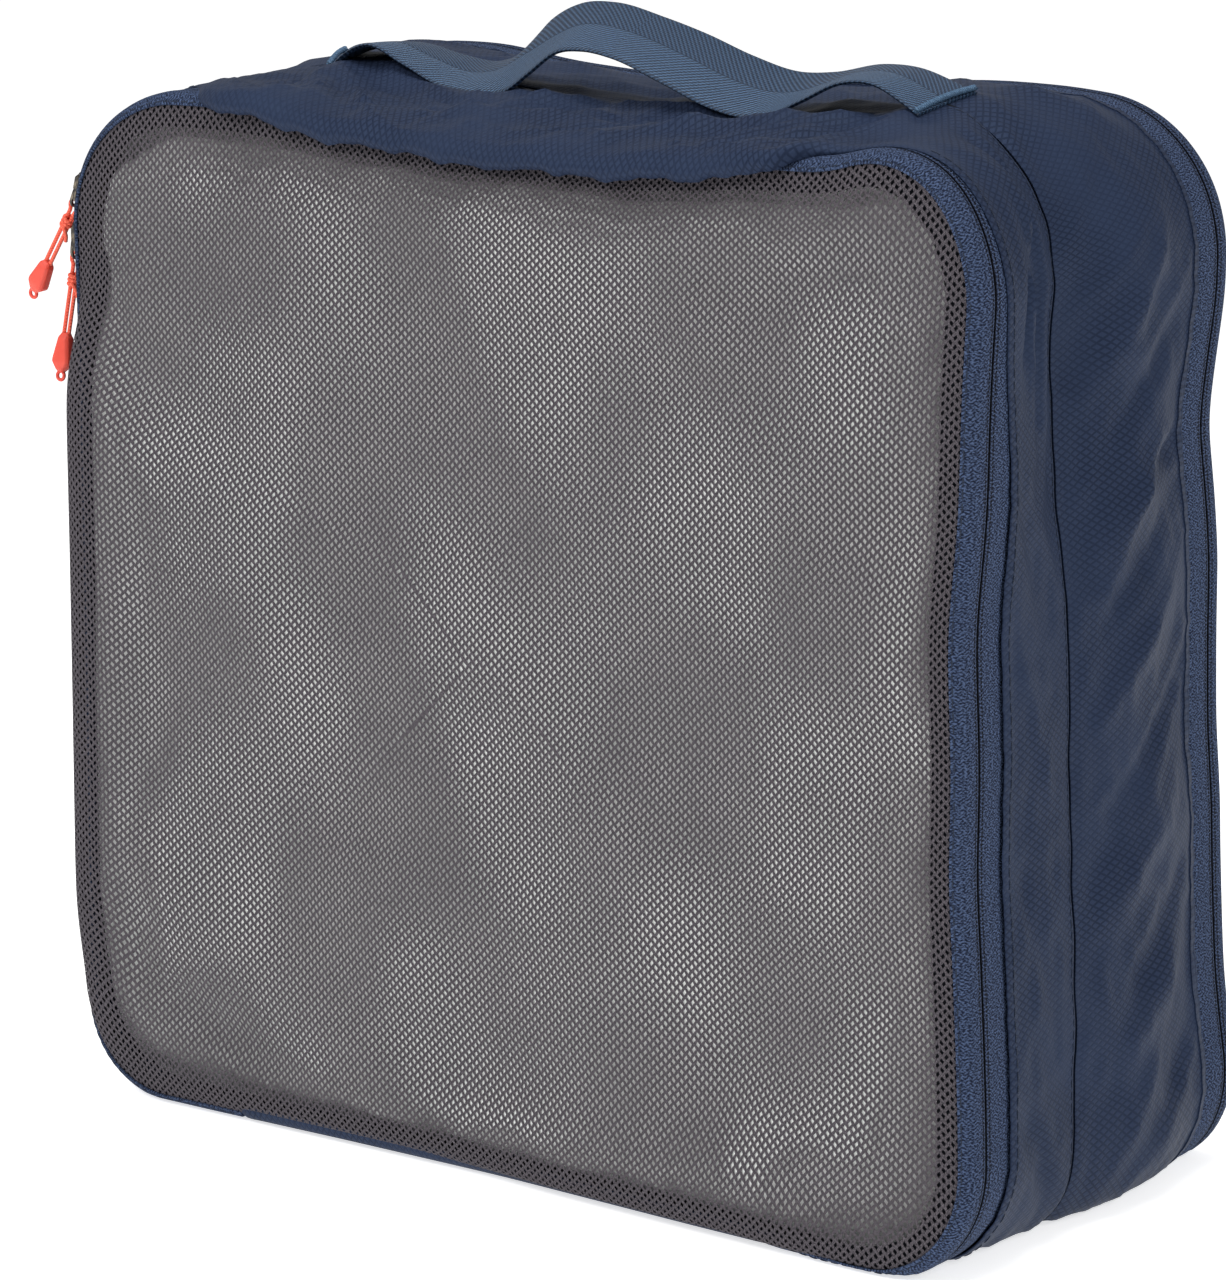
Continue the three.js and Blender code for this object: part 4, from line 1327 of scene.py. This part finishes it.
def stitches(name, surface, run, body, length=3.0, pitch=4.0, radius=0.24, beside_zip_only=False):
    """A row of sewn dashes. surface(u, offset) gives points at places u, offset mm across the row."""
    starts = np.arange(run[0] + 1, run[-1] - length, pitch)
    if beside_zip_only:
        starts = starts[OVERHANG(starts) < 0.02]
    along = np.array([0, 0.12, 0.35, 0.65, 0.88, 1.0])
    thick = np.array([0.25, 0.8, 1, 1, 0.8, 0.25]) * radius
    u = starts[:, None] + length * along[None, :]
    centre, beside = surface(u.ravel(), 0.0), surface(u.ravel(), 0.5)
    centre = centre.reshape(*u.shape, 3)
    across = beside.reshape(*u.shape, 3) - centre
    across /= np.linalg.norm(across, axis=-1, keepdims=True)
    ahead = np.gradient(centre, axis=1)
    ahead /= np.linalg.norm(ahead, axis=-1, keepdims=True)
    up = np.cross(ahead, across)
    sides = 6
    turn = np.linspace(0, TAU, sides, endpoint=False)
    ring = across[:, :, None] * np.cos(turn)[:, None] + up[:, :, None] * np.sin(turn)[:, None]
    points = centre[:, :, None] + thick[None, :, None, None] * ring
    one = ring_faces(len(along), sides)
    block = len(along) * sides
    faces = (np.arange(len(starts))[:, None, None] * block + one[None]).reshape(-1, 4)
    cloth = np.stack(np.broadcast_arrays(u[:, :, None], turn * radius, 0.0), -1)
    made = new_object(name, points, faces, cloth)
    return dress(made, body, NAVY_THREAD)


def gusset_stitch_surface(share):
    def surface(u, offset):
        return front_gusset_points(u, np.array([share - offset / 42]), 0.08)[:, 0]

    return surface


def skin_stitch_surface(depth, lift):
    return lambda u, offset: skin(u, np.full(np.shape(u), depth) + offset, lift)


def seam_stitches():
    stitches("front_hem_stitches", gusset_stitch_surface(0.865), ROUND, "cube_body", beside_zip_only=True)
    stitches("front_seam_stitches", gusset_stitch_surface(0.055), ROUND, "cube_body", radius=0.18)
    stitches("rear_hem_stitches", skin_stitch_surface(54.6, 0.3), ROUND, "cube_body")
    stitches("front_cover_stitches", skin_stitch_surface(-81.8, 0.05), ZIP_RUN, "front_cover", radius=0.2)
    stitches("rear_cover_stitches", skin_stitch_surface(81.8, 0.05), ZIP_RUN, "rear_cover", radius=0.2)


# ---- Handle: a strap of webbing that waves over the top; heights of its two edges along x ----

STRAP_REAR = np.array([
    (-127, 355.5), (-118, 361), (-104, 363), (-86, 363.5), (-68, 360.2), (-54, 359.5), (-46, 362.5),
    (-33, 374.8), (-22, 380), (-8, 381), (12, 377), (29, 372.4), (47, 366.3), (64, 362.3), (78, 362.9),
    (97, 366.3), (111, 365.6), (124, 361.6), (133, 358.5),
])
STRAP_FRONT = np.array([
    (-112, 352), (-104, 357.5), (-98, 362), (-90, 365.2), (-73, 359.5), (-60, 354), (-48, 352.1),
    (-31, 353.2), (-22, 359.3), (-11, 366.7), (-1, 368), (11, 366.4), (31, 359.5), (50, 352.4), (60, 350.4),
    (71, 351), (84, 356.5), (99, 363), (111, 363.2), (121, 358.6), (133, 351),
])
STRAP_HALF = 15
STRAP_THICKNESS = 1.2
STRAP_SPLIT = 9  # the two pieces of webbing meet here, on the part that swings


def strap_heights(x, across):
    """The strap's upper face above place x, across from -1 (its front edge) to +1 (its rear edge)."""
    rear = hermite(STRAP_REAR[:, 0], STRAP_REAR[:, 1], x)
    front = hermite(STRAP_FRONT[:, 0], STRAP_FRONT[:, 1], x)
    share = (across + 1) / 2
    return front + (rear - front) * share + 0.5 * (1 - across**2)


def strap_piece(name, ends, replaced):
    """ends gives x at both ends of the front edge, then of the rear edge."""
    across = np.array([-1, -0.985, -0.95, -0.8, -0.5, -0.2, -0.03, 0, 0.03, 0.2, 0.5, 0.8, 0.95, 0.985, 1])
    rounding = np.array([-0.45, -0.15, 0, 0, 0, 0, 0, -0.12, 0, 0, 0, 0, 0, -0.15, -0.45])
    share = (across[None, :] + 1) / 2
    low, high = (front + (rear - front) * share for front, rear in zip(*ends))
    x = low + (high - low) * np.linspace(0, 1, 72)[:, None]
    heights = strap_heights(x, across[None, :]) + rounding[None, :]
    sway = 0.5 * field(x, 0 * x, 60, 71)
    points = np.stack([x, SEAM_Y + STRAP_HALF * across[None, :] + sway, heights], -1)
    run = np.concatenate([[0], np.cumsum(np.hypot(np.diff(x[:, 7]), np.diff(heights[:, 7])))])
    made = strip(name, run, across, points, STRAP_THICKNESS, across=STRAP_HALF * across)
    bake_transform(made)
    return dress(made, None, WEBBING, replaced)


def satin_bar(name, start, end, replaced):
    """A dense bar of stitching: thread wound over the strap's end from edge to edge."""
    start, end = np.array(start, float), np.array(end, float)
    turns = 15
    t = np.linspace(0, 1, turns * 16)
    strands = []
    for first in (0, math.pi):
        middle = start + (end - start) * t[:, None]
        middle[:, 2] += 0.8 * np.sin(math.pi * t)
        wind = TAU * turns * t + first
        middle[:, 0] += 0.62 * np.cos(wind)
        middle[:, 2] += 0.5 * np.sin(wind)
        strands.append(tube(f"{name}_strand", middle, 0.5, sides=7))
    made = joined(name, strands)
    return dress(made, "cube_body", BLUE_THREAD, replaced)


def handle():
    left_ends = ((-106, STRAP_SPLIT), (-123, STRAP_SPLIT))
    right_ends = ((STRAP_SPLIT, 127.5), (STRAP_SPLIT, 130.5))
    left_nodes = ["handle_strap_left_end", "handle_strap_grip"]
    strap_piece("handle_webbing_left", left_ends, left_nodes)
    right_nodes = ["handle_strap_right_end"]
    strap_piece("handle_webbing_right", right_ends, right_nodes)
    low, high = SEAM_Y - STRAP_HALF, SEAM_Y + STRAP_HALF
    satin_bar("handle_satin_bar_right", (126.5, low, 355.6), (129.5, high, 360.6), ["handle_bartack_right"])
    satin_bar("handle_satin_bar_left", (-104.5, low, 357.8), (-121.5, high, 359.8), ["handle_bartack_left"])


# ---- Sliders, their metal loops and the pulls ----

UPPER_SLIDER_DEG = 15.5
LOWER_SLIDER_Z = 298.5
LOOP_PIVOT_AT = 3.45
LOOP_LENGTH = 8
LOOP_RADIUS = 2.7
WIRE_RADIUS = 0.65
CORD_DIAMETER = 1.4
EYE_RADIUS = 2.2
STRAND_HALF_SPACING = 1.1
KNOT_AT = 7.5
PULL_END_AT = 27.3
CORD_END_AT = 27
PULL_END = {"length": 12, "top": 4.6, "full": 7.5, "tip": 3.4, "thick": 4.6}
LUG_RADIUS = 1.5  # the small ring at the moulded end's tip


def slider_station(side, place):
    """The loop's pivot, and unit vectors out of the cube and up along the zip."""
    turn = math.radians(UPPER_SLIDER_DEG if place == "upper" else 0)
    out = np.array([-math.cos(turn), 0, math.sin(turn)])
    along = np.array([math.sin(turn), 0, math.cos(turn)])
    if place == "upper":
        start = np.array([TOP_RADIUS - HALF_WIDTH, side * ZIP_Y, SIDE_HIGH]) + TOP_RADIUS * out
    else:
        start = np.array([-HALF_WIDTH, side * ZIP_Y, LOWER_SLIDER_Z])
    return start + LOOP_PIVOT_AT * out, out, along


def metal_loop(label, side, place, tilt_degrees):
    """A ring of round wire through the slider's bridge; returns the middle of its far bar."""
    pivot, out, along = slider_station(side, place)
    tilt = math.radians(tilt_degrees)
    down = out * math.sin(tilt) - along * math.cos(tilt)
    across = np.array([0, 1, 0])
    path = []
    for centre, first in ((LOOP_RADIUS, math.pi), (LOOP_LENGTH - LOOP_RADIUS, 0)):
        for turn in np.linspace(first, first + math.pi, 15):
            reach = centre + LOOP_RADIUS * math.sin(turn)
            path.append(pivot + down * reach + across * LOOP_RADIUS * math.cos(turn))
    made = tube(f"{label}_{place}_wire_loop", path, WIRE_RADIUS, sides=12, closed=True)
    dress(made, f"{label}_{place}_puller", METAL, [f"{label}_{place}_puller"])
    return pivot + down * LOOP_LENGTH


def slider(label, place):
    node = f"{label}_{place}_slider"
    dress(bevelled_copy(node, f"{node}_cast", 0.35), node, METAL, [node])


class Pull:
    """The frame of one pull: its origin is on the loop's far bar, and depth runs down the pull."""

    def __init__(self, bar, direction):
        self.bar = np.array(bar, float)
        self.up = -np.array(direction, float) / np.linalg.norm(direction)
        self.across = np.cross((0, 1, 0), self.up)
        self.across /= np.linalg.norm(self.across)
        self.through = np.cross(self.up, self.across)

    def place(self, x, y, depth):
        x, y, depth = (np.asarray(value, float)[..., None] for value in (x, y, depth))
        return self.bar + x * self.across + y * self.through - depth * self.up


def catmull(points, steps):
    """A centripetal Catmull-Rom curve through points."""
    points = np.asarray(points, float)
    points = np.concatenate([[2 * points[0] - points[1]], points, [2 * points[-1] - points[-2]]])
    curve = []
    for p0, p1, p2, p3 in zip(points, points[1:], points[2:], points[3:]):
        t1 = np.linalg.norm(p1 - p0) ** 0.5
        t2 = t1 + np.linalg.norm(p2 - p1) ** 0.5
        t3 = t2 + np.linalg.norm(p3 - p2) ** 0.5
        t = np.linspace(t1, t2, steps, endpoint=False)[:, None]
        a1 = (t1 - t) / t1 * p0 + t / t1 * p1
        a2 = (t2 - t) / (t2 - t1) * p1 + (t - t1) / (t2 - t1) * p2
        a3 = (t3 - t) / (t3 - t2) * p2 + (t - t2) / (t3 - t2) * p3
        b1 = (t2 - t) / t2 * a1 + t / t2 * a2
        b2 = (t3 - t) / (t3 - t1) * a2 + (t - t1) / (t3 - t1) * a3
        curve.append((t2 - t) / (t2 - t1) * b1 + (t - t1) / (t2 - t1) * b2)
    return np.concatenate([*curve, points[-2:-1]])


def cord_route(pull):
    """The doubled cord: up one strand, round the far bar, and down the other."""
    depths = [CORD_END_AT, 24, 20, 16, 12, KNOT_AT, 5.6]
    route = [(-STRAND_HALF_SPACING, depth) for depth in depths]
    for degrees in (-150, -110, -60, 0, 60, 110, 150):
        turn = math.radians(degrees)
        reach = EYE_RADIUS * (1.12 if abs(degrees) > 120 else 1)
        route.append((reach * math.sin(turn), -1.05 * reach * math.cos(turn)))
    route += [(STRAND_HALF_SPACING, depth) for depth in reversed(depths)]
    return catmull([pull.place(x, 0, depth) for x, depth in route], 6)


def cord_knot(pull, name):
    """The knot that closes the eye: three tight turns, a strap across them and a short cut tail."""
    t = np.linspace(0, 1, 60)
    turn = TAU * 2.8 * t
    wraps = pull.place(1.65 * np.cos(turn), 1.35 * np.sin(turn), KNOT_AT - 2.1 + 4.0 * t)
    over = np.linspace(-0.4, 1.1, 14)
    strap = pull.place(1.9 * np.cos(over * 2.2), 2.0 + 0.25 * np.sin(over * 3), KNOT_AT - 1.6 + 2.6 * over)
    tail = catmull([pull.place(*at) for at in ((0.4, -1.4, KNOT_AT + 1.2), (1.9, -1.8, KNOT_AT + 2.2),
                                               (3.1, -1.5, KNOT_AT + 3.6), (3.7, -1.2, KNOT_AT + 5.6))], 5)
    parts = [
        tube("wraps", wraps, 0.74),
        tube("strap", strap, 0.66),
        tube("tail", tail, 0.66),
    ]
    return joined(name, parts)


def moulded_end(pull, name):
    """A tapered, chamfered end moulded over the cord, with a small ring at its tip."""
    length = PULL_END["length"]
    half_top, half_full, half_tip = (PULL_END[key] / 2 for key in ("top", "full", "tip"))
    half_thick = PULL_END["thick"] / 2
    sections = [
        (-1.4, 1.5, 1.2), (-0.4, 1.9, 1.7),
        (0.0, half_top, 0.82 * half_thick), (0.7, half_top + 0.15, half_thick),
        (0.7 * length - 0.5, half_full, half_thick), (0.7 * length + 0.6, half_full, half_thick),
        (length - 0.7, half_tip + 0.3, 0.8 * half_thick), (length + 0.2, half_tip - 0.5, 0.5 * half_thick),
    ]
    rings = []
    for depth, wide, thick in sections:
        cut = 0.42 * min(wide, thick)
        corners = [
            (wide, thick - cut), (wide - cut, thick), (cut - wide, thick), (-wide, thick - cut),
            (-wide, cut - thick), (cut - wide, -thick), (wide - cut, -thick), (wide, cut - thick),
        ]
        rings.append([pull.place(x, y, PULL_END_AT + depth) for x, y in corners])
    rings = np.array(rings)
    count = len(sections)
    faces = ring_faces(count, 8).tolist()
    faces += [list(range(8)), list(range(count * 8 - 1, count * 8 - 9, -1))]
    body = polygon_object("body", rings.reshape(-1, 3), faces)
    round_edges(body, 0.28, 2, 12)
    turns = np.linspace(0, TAU, 24, endpoint=False)
    ring_at = PULL_END_AT + length + LUG_RADIUS
    circle = pull.place(LUG_RADIUS * np.sin(turns), 0 * turns, ring_at + LUG_RADIUS * np.cos(turns))
    ring = tube("ring", circle, 0.62, closed=True)
    made = joined(name, [body, ring])
    made.data.set_sharp_from_angle(angle=math.radians(50))
    return made


def pull_with_cord(label, bar, direction):
    pull = Pull(bar, direction)
    body = f"{label}_pull"
    route = cord_route(pull)
    cord = tube(f"{label}_braided_cord", route, CORD_DIAMETER / 2, sides=12)
    dress(cord, body, CORD, [f"{label}_pull_cord"])
    knot = dress(cord_knot(pull, f"{label}_cord_knot"), body, CORD)
    end = dress(moulded_end(pull, f"{label}_moulded_end"), body, MOULDED, [f"{label}_pull_end"])


# ---- The whole cube ----

front_gusset()
rear_gusset()
seam_binding()
divider()
for LABEL, SIDE in (("front", -1), ("rear", 1)):
    zip_tape(LABEL, SIDE, "inner", INNER_TAPE, "cube_body")
    zip_tape(LABEL, SIDE, "outer", OUTER_TAPE, f"{LABEL}_cover")
    zip_coil(LABEL, SIDE, "inner", "cube_body")
    zip_coil(LABEL, SIDE, "outer", f"{LABEL}_cover")
    zip_stops(LABEL)
    hinge_strip(LABEL, SIDE)
    slider(LABEL, "upper")
    slider(LABEL, "lower")
net_panel()
rear_panel()
cover_binding("front", -1)
cover_binding("rear", 1)
filling()
seam_stitches()
handle()
FRONT_UPPER_BAR = metal_loop("front", -1, "upper", 8.1)
FRONT_LOWER_BAR = metal_loop("front", -1, "lower", 8)
metal_loop("rear", 1, "upper", 2)
metal_loop("rear", 1, "lower", 2)
pull_with_cord("front_upper", FRONT_UPPER_BAR, (-26.5, 5, -35.5))
pull_with_cord("front_lower", FRONT_LOWER_BAR, (-4.5, -5, -42.5))

# ---- Floor, light and camera ----


def floor():
    reach = 20000
    corners = [(-reach, -reach, -0.1), (reach, -reach, -0.1), (reach, reach, -0.1), (-reach, reach, -0.1)]
    made = polygon_object("studio_floor", corners, [(0, 1, 2, 3)])
    made.data.materials.append(floor_material())


def area_light(name, place, aim, size, watts):
    data = bpy.data.lights.new(name, "AREA")
    data.shape = "RECTANGLE"
    data.size, data.size_y = (side * MM for side in size)
    data.energy = watts
    light = bpy.data.objects.new(name, data)
    light.location = Vector(place) * MM
    light.rotation_euler = (Vector(aim) - Vector(place)).to_track_quat("-Z", "Y").to_euler()
    bpy.context.scene.collection.objects.link(light)


SKY_LIGHT = 0.40  # the white studio's light on the cube; the backdrop itself shows as white


def studio():
    world = bpy.data.worlds.new("soft_studio")
    world.use_nodes = True
    tree = world.node_tree
    background = tree.nodes["Background"]
    background.inputs["Color"].default_value = (1, 1, 1, 1)
    seen = tree.nodes.new("ShaderNodeLightPath")
    brightness = tree.nodes.new("ShaderNodeMapRange")
    brightness.inputs["To Min"].default_value = SKY_LIGHT
    tree.links.new(seen.outputs["Is Camera Ray"], brightness.inputs["Value"])
    tree.links.new(brightness.outputs[0], background.inputs["Strength"])
    bpy.context.scene.world = world
    area_light("key", (-500, -1500, 1500), (0, 0, 180), (700, 700), 18)
    area_light("side", (1500, -100, 1100), (0, 0, 200), (500, 500), 4.5)
    area_light("above", (200, -100, 1700), (0, 0, 300), (800, 700), 12)
    bpy.context.scene.view_settings.view_transform = "Standard"


CAMERA_AZIMUTH = 35.63
CAMERA_ELEVATION = 12.06
CAMERA_DISTANCE = 1607
CAMERA_TARGET = (-8.8, -3, 167.6)
CAMERA_LENS = 134.5


def camera():
    data = bpy.data.cameras.new("camera")
    data.lens = CAMERA_LENS
    data.sensor_width = 36
    data.clip_end = 100
    made = bpy.data.objects.new("camera", data)
    azimuth, elevation = math.radians(CAMERA_AZIMUTH), math.radians(CAMERA_ELEVATION)
    level = CAMERA_DISTANCE * math.cos(elevation)
    height = CAMERA_DISTANCE * math.sin(elevation)
    away = Vector((level * math.sin(azimuth), -level * math.cos(azimuth), height))
    made.location = (Vector(CAMERA_TARGET) + away) * MM
    made.rotation_euler = (-away).to_track_quat("-Z", "Y").to_euler()
    bpy.context.scene.collection.objects.link(made)
    bpy.context.scene.camera = made


floor()
studio()
camera()
